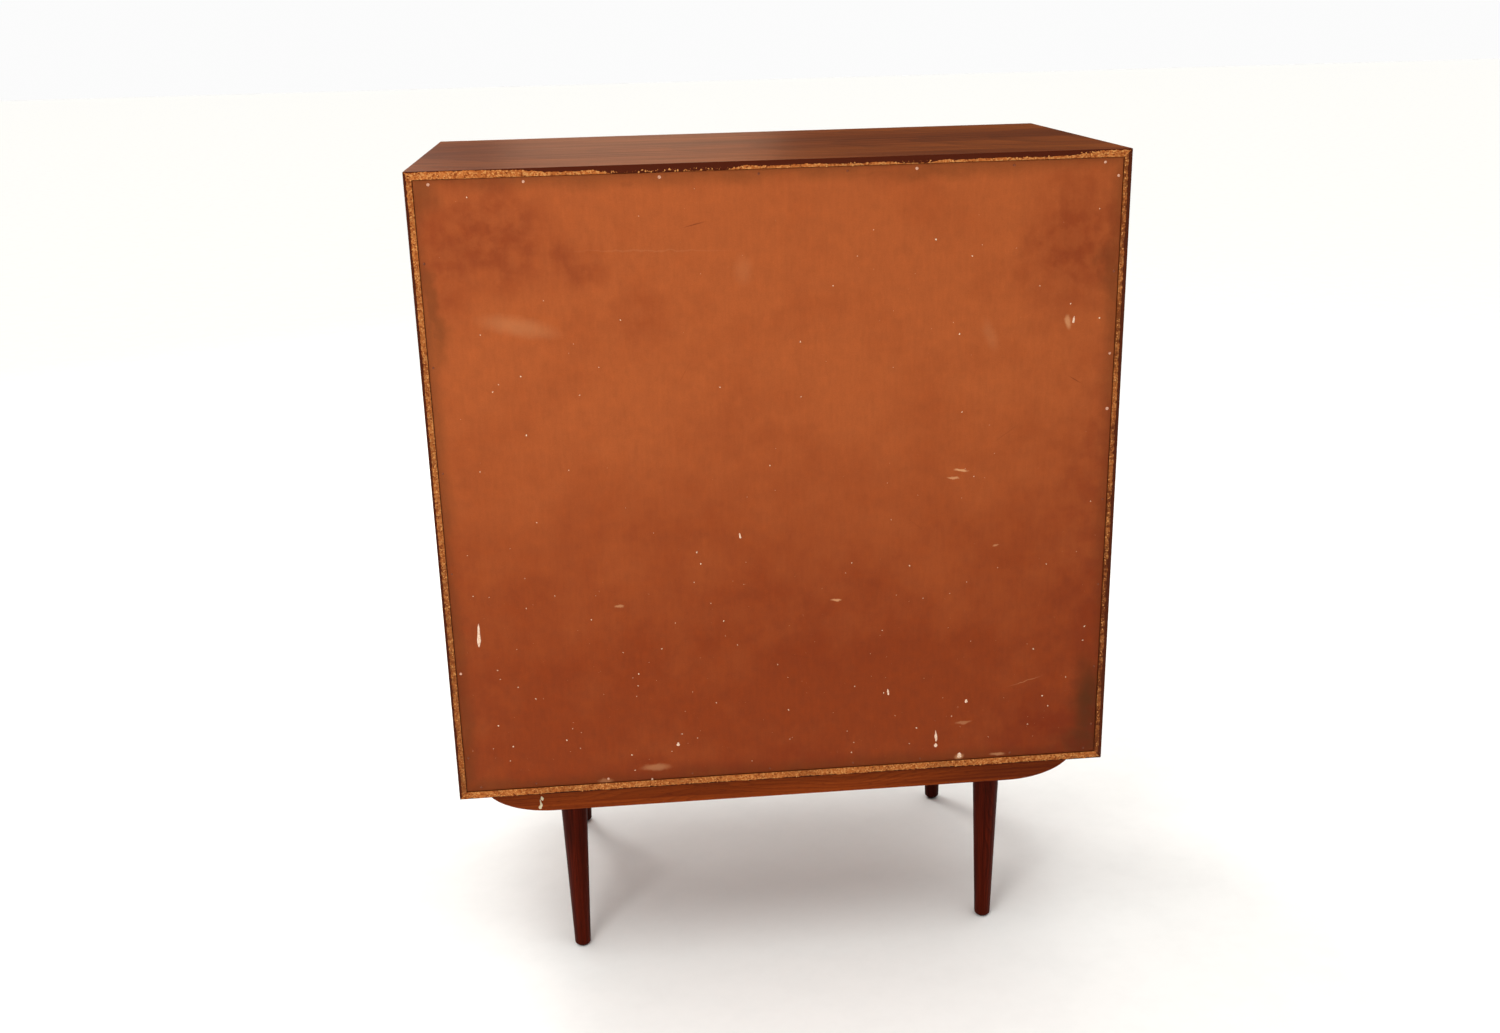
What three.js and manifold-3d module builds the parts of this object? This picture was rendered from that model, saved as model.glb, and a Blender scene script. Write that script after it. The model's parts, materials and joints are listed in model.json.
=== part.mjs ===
// Console television cabinet: a mitred teak-veneered case on a boat-shaped base with four turned legs.
// Two hinged doors close the television bay, and two dovetailed drawers run below it.
// Millimetres, +Z up. The front faces -Y, +X is to the right of someone facing it, and z = 0 is the floor.
import * as THREE from "three";
import { mergeVertices } from "three/addons/utils/BufferGeometryUtils.js";
import Module from "manifold-3d";

const wasm = await Module();
wasm.setup();

// ---- Driving dimensions ----
const CASE_WIDTH = 900;
const CASE_DEPTH = 476;
const CASE_HEIGHT = 844;
const UNDERSIDE_Z = 277; // underside of the case above the floor
const BOARD = 20; // veneered board, used for the case, the shelf, the doors and the drawer fronts
const PULL_PROUD = 18; // how far the pulls stand in front of the case

const REBATE_WIDTH = 10; // step around the back edge that takes the back panel
const REBATE_DEPTH = 6;
const BACK_THICKNESS = 4;
const BACK_PANEL_PLAY = 0.5; // around the panel in its rebate

const FACE_RECESS = 2; // doors and drawer fronts lie this far behind the case's front edges
const FACE_GAP = 2; // between neighbouring fronts, and between a front and the case
const DRAWER_FACE_HEIGHT = 124;
const HOUSING_DEPTH = 6; // how far the fixed shelf is let into the sides
const HOUSING_PLAY = 0.3;
const SHELF_SETBACK = 1; // the shelf's front edge lies this far behind the doors

const RAIL_HALF_LENGTH = 420;
const RAIL_END_LENGTH = 95; // each end of a rail sweeps up in a quarter ellipse of this length
const RAIL_HEIGHT = 46;
const RAIL_THICKNESS = 40;
const RAIL_EASE = 2.5; // rounding of the rail's long edges
const LEG_X = 298;
const LEG_SETBACK = 55; // from the case's front or back face to a leg's axis

const LEG_TOP_RADIUS = 18.5;
const LEG_FOOT_RADIUS = 11.5;
const LEG_FOOT_ROUND = 2.5;
const TENON_RADIUS = 12;
const TENON_LENGTH = 32;
const TENON_PLAY = 0.3;
const GLIDE_HEIGHT = 3;
const GLIDE_RADIUS = 9;

const CROSS_WIDTH = 36; // cross rails between the two long rails
const CROSS_HEIGHT = 30;
const CROSS_TENON = 12;
const CROSS_TENON_SHOULDER = 6;

const DRAWER_LENGTH = 446; // face to rear
const DRAWER_SIDE = 12; // thickness of drawer sides and back
const DRAWER_SIDE_HEIGHT = 100;
const DRAWER_SIDE_LIFT = 8; // sides start this far above the front's lower edge
const DRAWER_SIDE_CLEARANCE = 5; // from drawer side to case side
const DRAWER_BOTTOM = 4;
const BOTTOM_LIFT = 8; // of the bottom's groove above the sides' lower edge
const BOTTOM_GROOVE = 5;
const BACK_DROP = 6; // the drawer back stops this far below the sides
const TAIL_LENGTH = 13; // half-blind dovetails into the drawer front
const FRONT_TAILS = 4;
const REAR_TAILS = 3;
const TAIL_ROOT_SHARE = 0.27; // half a tail's width at its root, as a share of the pitch
const TAIL_TIP_SHARE = 0.36;
const DOVETAIL_PLAY = 0.15;
const RUNNER_HEIGHT = 13;
const RUNNER_SLOT = 14; // height of the groove in the drawer side
const RUNNER_SLOT_DEPTH = 6;
const RUNNER_LIFT = 44; // of that groove above the sides' lower edge
const RUNNER_LENGTH = 405;
const RUNNER_SETBACK = 2; // the runner's round nose lies this far behind the drawer front
const RUNNER_PLAY = 0.5;

const PULL_WIDTH = 18; // across the front of a pull
const PULL_NECK = 9; // where it meets the door or drawer
const PULL_SWEEP = 55; // length of each swept end
const DOOR_PULL_LENGTH = 210;
const DOOR_PULL_EDGE = 16; // from the meeting edge to the pull's middle
const DRAWER_PULL_LENGTH = 170;
const DRAWER_PULL_X = 214;

const HINGE_LENGTH = 60;
const PIN_PROUD = 1; // from the case's front edge forward to the pin's axis
const HINGE_LEAF = 22; // width of a leaf from the pin's axis
const LEAF_NEAR = 0.3; // a leaf's two faces, measured out from the pin's axis
const LEAF_FAR = 2.5;
const KNUCKLE_RADIUS = 3;
const KNUCKLES = 5;
const KNUCKLE_GAP = 0.3;
const KNUCKLE_CLEAR = 3.4; // radius cut away where the other leaf's knuckles turn
const PIN_RADIUS = 1.5;
const PIN_HOLE_RADIUS = 1.6;
const PIN_BUTTON_RADIUS = 2.6;
const PIN_BUTTON_HEIGHT = 2;
const HINGE_SPREAD = 190; // from the middle of a door's height to each hinge
const SEAT_PLAY = 0.25; // around a leaf in its seat
const BUTTON_ROOM = 0.5; // above and below the pin's buttons

const CATCH_SIZE = { width: 40, depth: 15, height: 14 };
const CATCH_X = 34;
const STRIKE_SIZE = { width: 34, thickness: 1.5, height: 13 };
const STRIKE_DROP = 3; // below the case's ceiling
const STRIKE_GAP = 0.5; // to the catch's face

const ROUND = 32; // facets around turned wood
const SMALL_ROUND = 20; // facets around metal fittings

// ---- Places worked out from them ----
const TOTAL_DEPTH = CASE_DEPTH + PULL_PROUD;
const BACK_Y = TOTAL_DEPTH / 2;
const FRONT_Y = BACK_Y - CASE_DEPTH;
const HALF_WIDTH = CASE_WIDTH / 2;
const INNER_X = HALF_WIDTH - BOARD;
const TOP_Z = UNDERSIDE_Z + CASE_HEIGHT;
const CEILING_Z = TOP_Z - BOARD;
const FLOOR_Z = UNDERSIDE_Z + BOARD;
const REBATE_Y = BACK_Y - REBATE_DEPTH;
const FACE_Y = FRONT_Y + FACE_RECESS;
const FACE_BACK_Y = FACE_Y + BOARD;
const LOWER_FACE_Z = FLOOR_Z + FACE_GAP;
const UPPER_FACE_Z = LOWER_FACE_Z + DRAWER_FACE_HEIGHT + FACE_GAP;
const DOOR_Z = UPPER_FACE_Z + DRAWER_FACE_HEIGHT + FACE_GAP;
const DOOR_TOP_Z = CEILING_Z - FACE_GAP;
const DOOR_MIDDLE_Z = (DOOR_Z + DOOR_TOP_Z) / 2;
const SHELF_Z = DOOR_Z - FACE_GAP / 2 - BOARD / 2;
const SHELF_FRONT_Y = FACE_BACK_Y + SHELF_SETBACK;
const DOOR_EDGE_X = INNER_X - FACE_GAP;
const MEETING_X = FACE_GAP / 2;
const HINGE_X = INNER_X - FACE_GAP / 2;
const HINGE_Y = FRONT_Y - PIN_PROUD;
const RAIL_Z = UNDERSIDE_Z - RAIL_HEIGHT;
const DRAWER_X = INNER_X - DRAWER_SIDE_CLEARANCE; // outside of the drawer box
const DRAWER_REAR_Y = FACE_Y + DRAWER_LENGTH;
const RAIL_Y = { front: FRONT_Y + LEG_SETBACK, rear: BACK_Y - LEG_SETBACK };

// ---- Materials ----
const finish = (color, roughness, metalness = 0) =>
  new THREE.MeshStandardMaterial({ color, roughness, metalness });
const teakVeneer = finish(0x7a3d1e, 0.45);
const teakSolid = finish(0x5a2412, 0.5);
const railTeak = finish(0x7b3517, 0.55);
const hardboard = finish(0xa0522a, 0.75);
const beech = finish(0xb98a5a, 0.6);
const birchPly = finish(0xc49a68, 0.65);
const brass = finish(0xb08d4a, 0.35, 1);
const steel = finish(0x9a9a98, 0.4, 1);
const nylon = finish(0x3a2f28, 0.5);

// ---- Shape helpers ----
// Turns a geometry's Y axis up to Z, and leaves every coordinate exact.
const Y_TO_Z = new THREE.Matrix4().set(1, 0, 0, 0, 0, 0, -1, 0, 0, 1, 0, 0, 0, 0, 0, 1);

/** A closed manifold-3d solid of a three.js geometry. */
function solid(geometry) {
  const bare = geometry.index ? geometry.toNonIndexed() : geometry.clone();
  bare.deleteAttribute("normal");
  bare.deleteAttribute("uv");
  const merged = mergeVertices(bare, 1e-3);
  return new wasm.Manifold(
    new wasm.Mesh({
      numProp: 3,
      vertProperties: new Float32Array(merged.attributes.position.array),
      triVerts: new Uint32Array(merged.index.array),
    }),
  );
}

/** A three.js geometry of a manifold-3d solid. */
function geometryOf(body) {
  const mesh = body.getMesh();
  const indexed = new THREE.BufferGeometry();
  indexed.setAttribute("position", new THREE.BufferAttribute(mesh.vertProperties, 3));
  indexed.setIndex(new THREE.BufferAttribute(mesh.triVerts, 1));
  const flat = indexed.toNonIndexed();
  flat.computeVertexNormals();
  return flat;
}

/** A box between two corners, given as [x, y, z]. */
function box(low, high) {
  const size = high.map((v, i) => v - low[i]);
  const middle = high.map((v, i) => (v + low[i]) / 2);
  return solid(new THREE.BoxGeometry(...size).translate(...middle));
}

/** An upright cylinder from z0 to z1. */
function rod(x, y, z0, z1, radius, facets) {
  const upright = new THREE.CylinderGeometry(radius, radius, z1 - z0, facets);
  return solid(upright.applyMatrix4(Y_TO_Z).translate(x, y, (z0 + z1) / 2));
}

/** A closed outline of [a, b] points as a THREE.Shape. */
function outline(points) {
  return new THREE.Shape(points.map(([a, b]) => new THREE.Vector2(a, b)));
}

/** An outline in the XZ plane, extruded along Y from y0 to y1. */
function slabAlongY(shape, y0, y1, bevel = 0) {
  const options = {
    depth: y1 - y0 - 2 * bevel,
    bevelEnabled: bevel > 0,
    bevelThickness: bevel,
    bevelSize: bevel,
    bevelOffset: -bevel,
    bevelSegments: 3,
    curveSegments: 8,
  };
  const slab = new THREE.ExtrudeGeometry(shape, options).applyMatrix4(Y_TO_Z);
  return slab.translate(0, y1 - bevel, 0);
}

/** An outline in the YZ plane, extruded along X from x0 to x1. */
function slabAlongX(shape, x0, x1) {
  const cyclic = new THREE.Matrix4().set(0, 0, 1, 0, 1, 0, 0, 0, 0, 1, 0, 0, 0, 0, 0, 1);
  const slab = new THREE.ExtrudeGeometry(shape, { depth: x1 - x0, bevelEnabled: false });
  return slab.applyMatrix4(cyclic).translate(x0, 0, 0);
}

/** Mirrors a solid across the YZ plane when side is -1. */
function onSide(body, side) {
  return side > 0 ? body : body.mirror([1, 0, 0]);
}

const cabinet = new THREE.Group();

/** Names a solid or a geometry and adds it to the cabinet. */
function add(name, shape, material) {
  const mesh = new THREE.Mesh(shape.isBufferGeometry ? shape : geometryOf(shape), material);
  mesh.name = name;
  cabinet.add(mesh);
}

const SIDES = [
  ["left", -1],
  ["right", 1],
];

// ---- Hinges: brass butts with five knuckles ----
const hingeHeights = {
  lower: DOOR_MIDDLE_Z - HINGE_SPREAD,
  upper: DOOR_MIDDLE_Z + HINGE_SPREAD,
};

/** One leaf with its own knuckles. reach is +1 for the leaf on the case side and -1 for the door's. */
function hingeLeaf(middleZ, reach, ownKnuckles) {
  const low = middleZ - HINGE_LENGTH / 2;
  const pitch = HINGE_LENGTH / KNUCKLES;
  const faces = [HINGE_X + reach * LEAF_NEAR, HINGE_X + reach * LEAF_FAR].sort((a, b) => a - b);
  let leaf = box([faces[0], HINGE_Y, low], [faces[1], HINGE_Y + HINGE_LEAF, low + HINGE_LENGTH]);
  for (let k = 0; k < KNUCKLES; k++) {
    const z = low + k * pitch;
    const own = k % 2 === ownKnuckles;
    const z0 = k > 0 ? z + KNUCKLE_GAP / 2 : z;
    const z1 = k < KNUCKLES - 1 ? z + pitch - KNUCKLE_GAP / 2 : z + pitch;
    const spare = own ? 0 : KNUCKLE_GAP;
    const radius = own ? KNUCKLE_RADIUS : KNUCKLE_CLEAR;
    const barrel = rod(HINGE_X, HINGE_Y, z0 - spare, z1 + spare, radius, SMALL_ROUND);
    leaf = own ? leaf.add(barrel) : leaf.subtract(barrel);
  }
  const bore = rod(HINGE_X, HINGE_Y, low - 1, low + HINGE_LENGTH + 1, PIN_HOLE_RADIUS, SMALL_ROUND);
  return leaf.subtract(bore);
}

/** The loose pin with a button at each end, turned as one profile. */
function hingePin(middleZ) {
  const shank = HINGE_LENGTH / 2 + KNUCKLE_GAP / 2;
  const end = shank + PIN_BUTTON_HEIGHT;
  const profile = [
    [0, -end],
    [PIN_BUTTON_RADIUS * 0.6, -end],
    [PIN_BUTTON_RADIUS, -end + PIN_BUTTON_HEIGHT / 2],
    [PIN_BUTTON_RADIUS, -shank],
    [PIN_RADIUS, -shank],
    [PIN_RADIUS, shank],
    [PIN_BUTTON_RADIUS, shank],
    [PIN_BUTTON_RADIUS, end - PIN_BUTTON_HEIGHT / 2],
    [PIN_BUTTON_RADIUS * 0.6, end],
    [0, end],
  ].map(([r, z]) => new THREE.Vector2(r, z));
  const turned = new THREE.LatheGeometry(profile, SMALL_ROUND).applyMatrix4(Y_TO_Z);
  return solid(turned.translate(HINGE_X, HINGE_Y, middleZ));
}

/** What a hinge needs cut out of the wood: a shallow seat for the leaf, and room for the knuckles. */
function hingeSeat(middleZ, reach) {
  const half = HINGE_LENGTH / 2 + SEAT_PLAY;
  const faces = [HINGE_X, HINGE_X + reach * (LEAF_FAR + SEAT_PLAY)].sort((a, b) => a - b);
  const leaf = box(
    [faces[0], HINGE_Y, middleZ - half],
    [faces[1], HINGE_Y + HINGE_LEAF + SEAT_PLAY, middleZ + half],
  );
  const room = half + PIN_BUTTON_HEIGHT + BUTTON_ROOM;
  return leaf.add(rod(HINGE_X, HINGE_Y, middleZ - room, middleZ + room, KNUCKLE_CLEAR, SMALL_ROUND));
}

for (const [place, side] of SIDES) {
  for (const [level, middleZ] of Object.entries(hingeHeights)) {
    const tag = `${place}_${level}`;
    add(`hinge_case_leaf_${tag}`, onSide(hingeLeaf(middleZ, 1, 0), side), brass);
    add(`hinge_door_leaf_${tag}`, onSide(hingeLeaf(middleZ, -1, 1), side), brass);
    add(`hinge_pin_${tag}`, onSide(hingePin(middleZ), side), brass);
  }
}

// ---- Case: four mitred boards, rebated at the back, with a fixed shelf ----
const rebate = box(
  [-HALF_WIDTH + REBATE_WIDTH, REBATE_Y, UNDERSIDE_Z + REBATE_WIDTH],
  [HALF_WIDTH - REBATE_WIDTH, BACK_Y + 1, TOP_Z - REBATE_WIDTH],
);
const mitredTop = outline([
  [-INNER_X, CEILING_Z],
  [INNER_X, CEILING_Z],
  [HALF_WIDTH, TOP_Z],
  [-HALF_WIDTH, TOP_Z],
]);
const mitredBottom = outline([
  [-HALF_WIDTH, UNDERSIDE_Z],
  [HALF_WIDTH, UNDERSIDE_Z],
  [INNER_X, FLOOR_Z],
  [-INNER_X, FLOOR_Z],
]);
const mitredSide = outline([
  [INNER_X, FLOOR_Z],
  [HALF_WIDTH, UNDERSIDE_Z],
  [HALF_WIDTH, TOP_Z],
  [INNER_X, CEILING_Z],
]);
const caseBoard = (shape) => solid(slabAlongY(shape, FRONT_Y, BACK_Y)).subtract(rebate);
add("case_top", caseBoard(mitredTop), teakVeneer);
add("case_bottom", caseBoard(mitredBottom), teakVeneer);

const shelfHousing = box(
  [INNER_X - 1, SHELF_FRONT_Y, SHELF_Z],
  [INNER_X + HOUSING_DEPTH, REBATE_Y + 1, SHELF_Z + BOARD],
);
let rightSide = caseBoard(mitredSide).subtract(shelfHousing);
for (const middleZ of Object.values(hingeHeights)) {
  rightSide = rightSide.subtract(hingeSeat(middleZ, 1));
}
for (const [place, side] of SIDES) add(`case_side_${place}`, onSide(rightSide, side), teakVeneer);

const shelfHalf = INNER_X + HOUSING_DEPTH - HOUSING_PLAY;
add(
  "fixed_shelf",
  box([-shelfHalf, SHELF_FRONT_Y, SHELF_Z], [shelfHalf, REBATE_Y, SHELF_Z + BOARD]),
  teakVeneer,
);

const backHalf = HALF_WIDTH - REBATE_WIDTH - BACK_PANEL_PLAY;
add(
  "back_panel",
  box(
    [-backHalf, REBATE_Y, UNDERSIDE_Z + REBATE_WIDTH + BACK_PANEL_PLAY],
    [backHalf, REBATE_Y + BACK_THICKNESS, TOP_Z - REBATE_WIDTH - BACK_PANEL_PLAY],
  ),
  hardboard,
);

// ---- Base: two boat-shaped rails, two cross rails and four turned legs ----
/** The rail's outline: flat on top, with ends that sweep up in quarter ellipses. */
function boatOutline(halfLength, sweep, height, topZ) {
  const shape = new THREE.Shape();
  shape.moveTo(halfLength, topZ);
  shape.lineTo(-halfLength, topZ);
  shape.absellipse(-halfLength + sweep, topZ, sweep, height, Math.PI, Math.PI * 1.5, false);
  shape.lineTo(halfLength - sweep, topZ - height);
  shape.absellipse(halfLength - sweep, topZ, sweep, height, Math.PI * 1.5, Math.PI * 2, false);
  return shape;
}

const crossLow = UNDERSIDE_Z - CROSS_HEIGHT;
/** A cross rail's tenon, or with play its mortise, through to both long rails. */
function crossTenon(side, play) {
  const half = CROSS_WIDTH / 2 - CROSS_TENON_SHOULDER + play;
  const reach = RAIL_THICKNESS / 2 - CROSS_TENON - play;
  const middle = side * (LEG_X - LEG_TOP_RADIUS - CROSS_WIDTH);
  return box(
    [middle - half, RAIL_Y.front + reach, crossLow + CROSS_TENON_SHOULDER - play],
    [middle + half, RAIL_Y.rear - reach, UNDERSIDE_Z - CROSS_TENON_SHOULDER + play],
  );
}

const railShape = boatOutline(RAIL_HALF_LENGTH, RAIL_END_LENGTH, RAIL_HEIGHT, UNDERSIDE_Z);
for (const [place, middleY] of Object.entries(RAIL_Y)) {
  const half = RAIL_THICKNESS / 2;
  let rail = solid(slabAlongY(railShape, middleY - half, middleY + half, RAIL_EASE));
  for (const [, side] of SIDES) {
    const bore = TENON_RADIUS + TENON_PLAY;
    const boreTop = RAIL_Z + TENON_LENGTH + TENON_PLAY;
    rail = rail
      .subtract(rod(side * LEG_X, middleY, RAIL_Z - 1, boreTop, bore, ROUND))
      .subtract(crossTenon(side, TENON_PLAY));
  }
  add(`base_rail_${place}`, rail, railTeak);
}

for (const [place, side] of SIDES) {
  const middle = side * (LEG_X - LEG_TOP_RADIUS - CROSS_WIDTH);
  const shoulder = RAIL_THICKNESS / 2;
  const rail = box(
    [middle - CROSS_WIDTH / 2, RAIL_Y.front + shoulder, crossLow],
    [middle + CROSS_WIDTH / 2, RAIL_Y.rear - shoulder, UNDERSIDE_Z],
  );
  add(`base_cross_rail_${place}`, rail.add(crossTenon(side, 0)), railTeak);
}

/** A leg from its foot to the tip of the tenon that is glued into the rail. */
function legProfile() {
  const foot = GLIDE_HEIGHT;
  const round = new THREE.EllipseCurve(
    LEG_FOOT_RADIUS - LEG_FOOT_ROUND,
    foot + LEG_FOOT_ROUND,
    LEG_FOOT_ROUND,
    LEG_FOOT_ROUND,
    -Math.PI / 2,
    0,
  ).getPoints(4);
  return [
    new THREE.Vector2(0, foot),
    ...round,
    new THREE.Vector2(LEG_TOP_RADIUS, RAIL_Z),
    new THREE.Vector2(TENON_RADIUS, RAIL_Z),
    new THREE.Vector2(TENON_RADIUS, RAIL_Z + TENON_LENGTH - 2),
    new THREE.Vector2(TENON_RADIUS - 2, RAIL_Z + TENON_LENGTH),
    new THREE.Vector2(0, RAIL_Z + TENON_LENGTH),
  ];
}

const glideProfile = [
  [0, 0],
  [GLIDE_RADIUS * 0.6, 0],
  [GLIDE_RADIUS * 0.9, GLIDE_HEIGHT * 0.35],
  [GLIDE_RADIUS, GLIDE_HEIGHT],
  [0, GLIDE_HEIGHT],
].map(([r, z]) => new THREE.Vector2(r, z));

/** A turned piece standing on a leg's axis. */
function turnedAt(profile, facets, x, y) {
  return new THREE.LatheGeometry(profile, facets).applyMatrix4(Y_TO_Z).translate(x, y, 0);
}

for (const [row, y] of Object.entries(RAIL_Y)) {
  for (const [place, side] of SIDES) {
    const x = side * LEG_X;
    add(`leg_${row}_${place}`, solid(turnedAt(legProfile(), ROUND, x, y)), teakSolid);
    add(`glide_${row}_${place}`, solid(turnedAt(glideProfile, SMALL_ROUND, x, y)), nylon);
  }
}

// ---- Pulls: a boat-shaped bar whose sides slope in to a narrow neck ----
/** A pull centred on the origin, lying along X, with its back at y = 0 and its front at -Y. */
function boatPull(length) {
  const proud = PULL_PROUD + FACE_RECESS;
  const half = PULL_WIDTH / 2;
  const plan = boatOutline(length / 2, PULL_SWEEP, proud, 0);
  const extruded = new THREE.ExtrudeGeometry(plan, {
    depth: PULL_WIDTH,
    bevelEnabled: false,
    curveSegments: 6,
  });
  const wedge = outline([
    [0, -PULL_NECK / 2],
    [0, PULL_NECK / 2],
    [-proud, half],
    [-proud, -half],
  ]);
  const sloped = slabAlongX(wedge, -length / 2 - 1, length / 2 + 1);
  return solid(extruded.translate(0, 0, -half)).intersect(solid(sloped));
}

/** Stands a pull upright, so that it lies along Z, and moves it to its place. */
function uprightPull(x, middleZ) {
  const upright = new THREE.Matrix4().set(0, 0, 1, 0, 0, 1, 0, 0, -1, 0, 0, 0, 0, 0, 0, 1);
  const pull = geometryOf(boatPull(DOOR_PULL_LENGTH)).applyMatrix4(upright);
  return solid(pull.translate(x, FACE_Y, middleZ));
}

// ---- Doors: inset boards, a pull at each meeting edge, and magnetic catches at the top ----
for (const [place, side] of SIDES) {
  let door = box([MEETING_X, FACE_Y, DOOR_Z], [DOOR_EDGE_X, FACE_BACK_Y, DOOR_TOP_Z]);
  for (const middleZ of Object.values(hingeHeights)) door = door.subtract(hingeSeat(middleZ, -1));
  add(`door_${place}`, onSide(door, side), teakVeneer);
  const pullX = side * (MEETING_X + DOOR_PULL_EDGE);
  add(`door_pull_${place}`, uprightPull(pullX, DOOR_MIDDLE_Z), teakSolid);

  const strikeX = side * CATCH_X;
  const plateY = FACE_BACK_Y + STRIKE_SIZE.thickness;
  const plateTop = CEILING_Z - STRIKE_DROP;
  add(
    `catch_strike_${place}`,
    box(
      [strikeX - STRIKE_SIZE.width / 2, FACE_BACK_Y, plateTop - STRIKE_SIZE.height],
      [strikeX + STRIKE_SIZE.width / 2, plateY, plateTop],
    ),
    steel,
  );
  const catchFace = plateY + STRIKE_GAP;
  add(
    `magnetic_catch_${place}`,
    box(
      [strikeX - CATCH_SIZE.width / 2, catchFace, CEILING_Z - CATCH_SIZE.height],
      [strikeX + CATCH_SIZE.width / 2, catchFace + CATCH_SIZE.depth, CEILING_Z],
    ),
    nylon,
  );
}

// ---- Drawers: dovetailed boxes hung on side runners ----
/** The zigzag of a row of tails from lowZ to highZ, root to tip and back, widened by play. */
function tailSteps(rootY, tipY, lowZ, highZ, count, play) {
  const pitch = (highZ - lowZ) / count;
  const reach = tipY + Math.sign(tipY - rootY) * play;
  const steps = [];
  for (let i = 0; i < count; i++) {
    const middle = lowZ + (i + 0.5) * pitch;
    const root = pitch * TAIL_ROOT_SHARE + play;
    const tip = pitch * TAIL_TIP_SHARE + play;
    steps.push([
      [rootY, middle - root],
      [reach, middle - tip],
      [reach, middle + tip],
      [rootY, middle + root],
    ]);
  }
  return steps;
}

/** The heights of one drawer, from the lower edge of its front. */
function drawerLevels(faceZ) {
  const low = faceZ + DRAWER_SIDE_LIFT;
  const groove = low + BOTTOM_LIFT;
  return {
    low,
    high: low + DRAWER_SIDE_HEIGHT,
    groove,
    backLow: groove + DRAWER_BOTTOM,
    backHigh: low + DRAWER_SIDE_HEIGHT - BACK_DROP,
    runner: low + RUNNER_LIFT,
  };
}

const rearBoardY = DRAWER_REAR_Y - DRAWER_SIDE;
const frontTails = (z, play) =>
  tailSteps(FACE_BACK_Y, FACE_BACK_Y - TAIL_LENGTH, z.low, z.high, FRONT_TAILS, play);
const rearTails = (z, play) =>
  tailSteps(rearBoardY, DRAWER_REAR_Y, z.backLow, z.backHigh, REAR_TAILS, play);

/** The groove that a runner fills, along the outside of the right-hand side and through the back's end. */
function runnerGroove(z) {
  return box(
    [DRAWER_X - RUNNER_SLOT_DEPTH, FACE_BACK_Y, z.runner],
    [DRAWER_X + 1, DRAWER_REAR_Y + 1, z.runner + RUNNER_SLOT],
  );
}

/** A right-hand drawer side with tails on both ends and its two grooves. */
function drawerSide(z) {
  const front = frontTails(z, 0).reverse();
  const points = [
    [FACE_BACK_Y, z.low],
    [DRAWER_REAR_Y, z.low],
    [DRAWER_REAR_Y, z.backLow],
    [rearBoardY, z.backLow],
    ...rearTails(z, 0).flat(),
    [rearBoardY, z.backHigh],
    [DRAWER_REAR_Y, z.backHigh],
    [DRAWER_REAR_Y, z.high],
    [FACE_BACK_Y, z.high],
    ...front.flatMap((tail) => [...tail].reverse()),
  ];
  const inside = DRAWER_X - DRAWER_SIDE;
  const bottomGroove = box(
    [inside - 1, FACE_BACK_Y, z.groove],
    [inside + BOTTOM_GROOVE, DRAWER_REAR_Y + 1, z.backLow],
  );
  const board = solid(slabAlongX(outline(points), inside, DRAWER_X));
  return board.subtract(bottomGroove).subtract(runnerGroove(z));
}

/** Cuts the sockets that a row of tails fits, on both sides of a board. */
function cutSockets(board, tails) {
  const inside = DRAWER_X - DRAWER_SIDE - DOVETAIL_PLAY;
  const outside = DRAWER_X + DOVETAIL_PLAY;
  let cut = board;
  for (const tail of tails) {
    const wound = tail[0][0] < tail[1][0] ? tail : [...tail].reverse();
    const socket = solid(slabAlongX(outline(wound), inside, outside));
    cut = cut.subtract(socket).subtract(onSide(socket, -1));
  }
  return cut;
}

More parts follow.
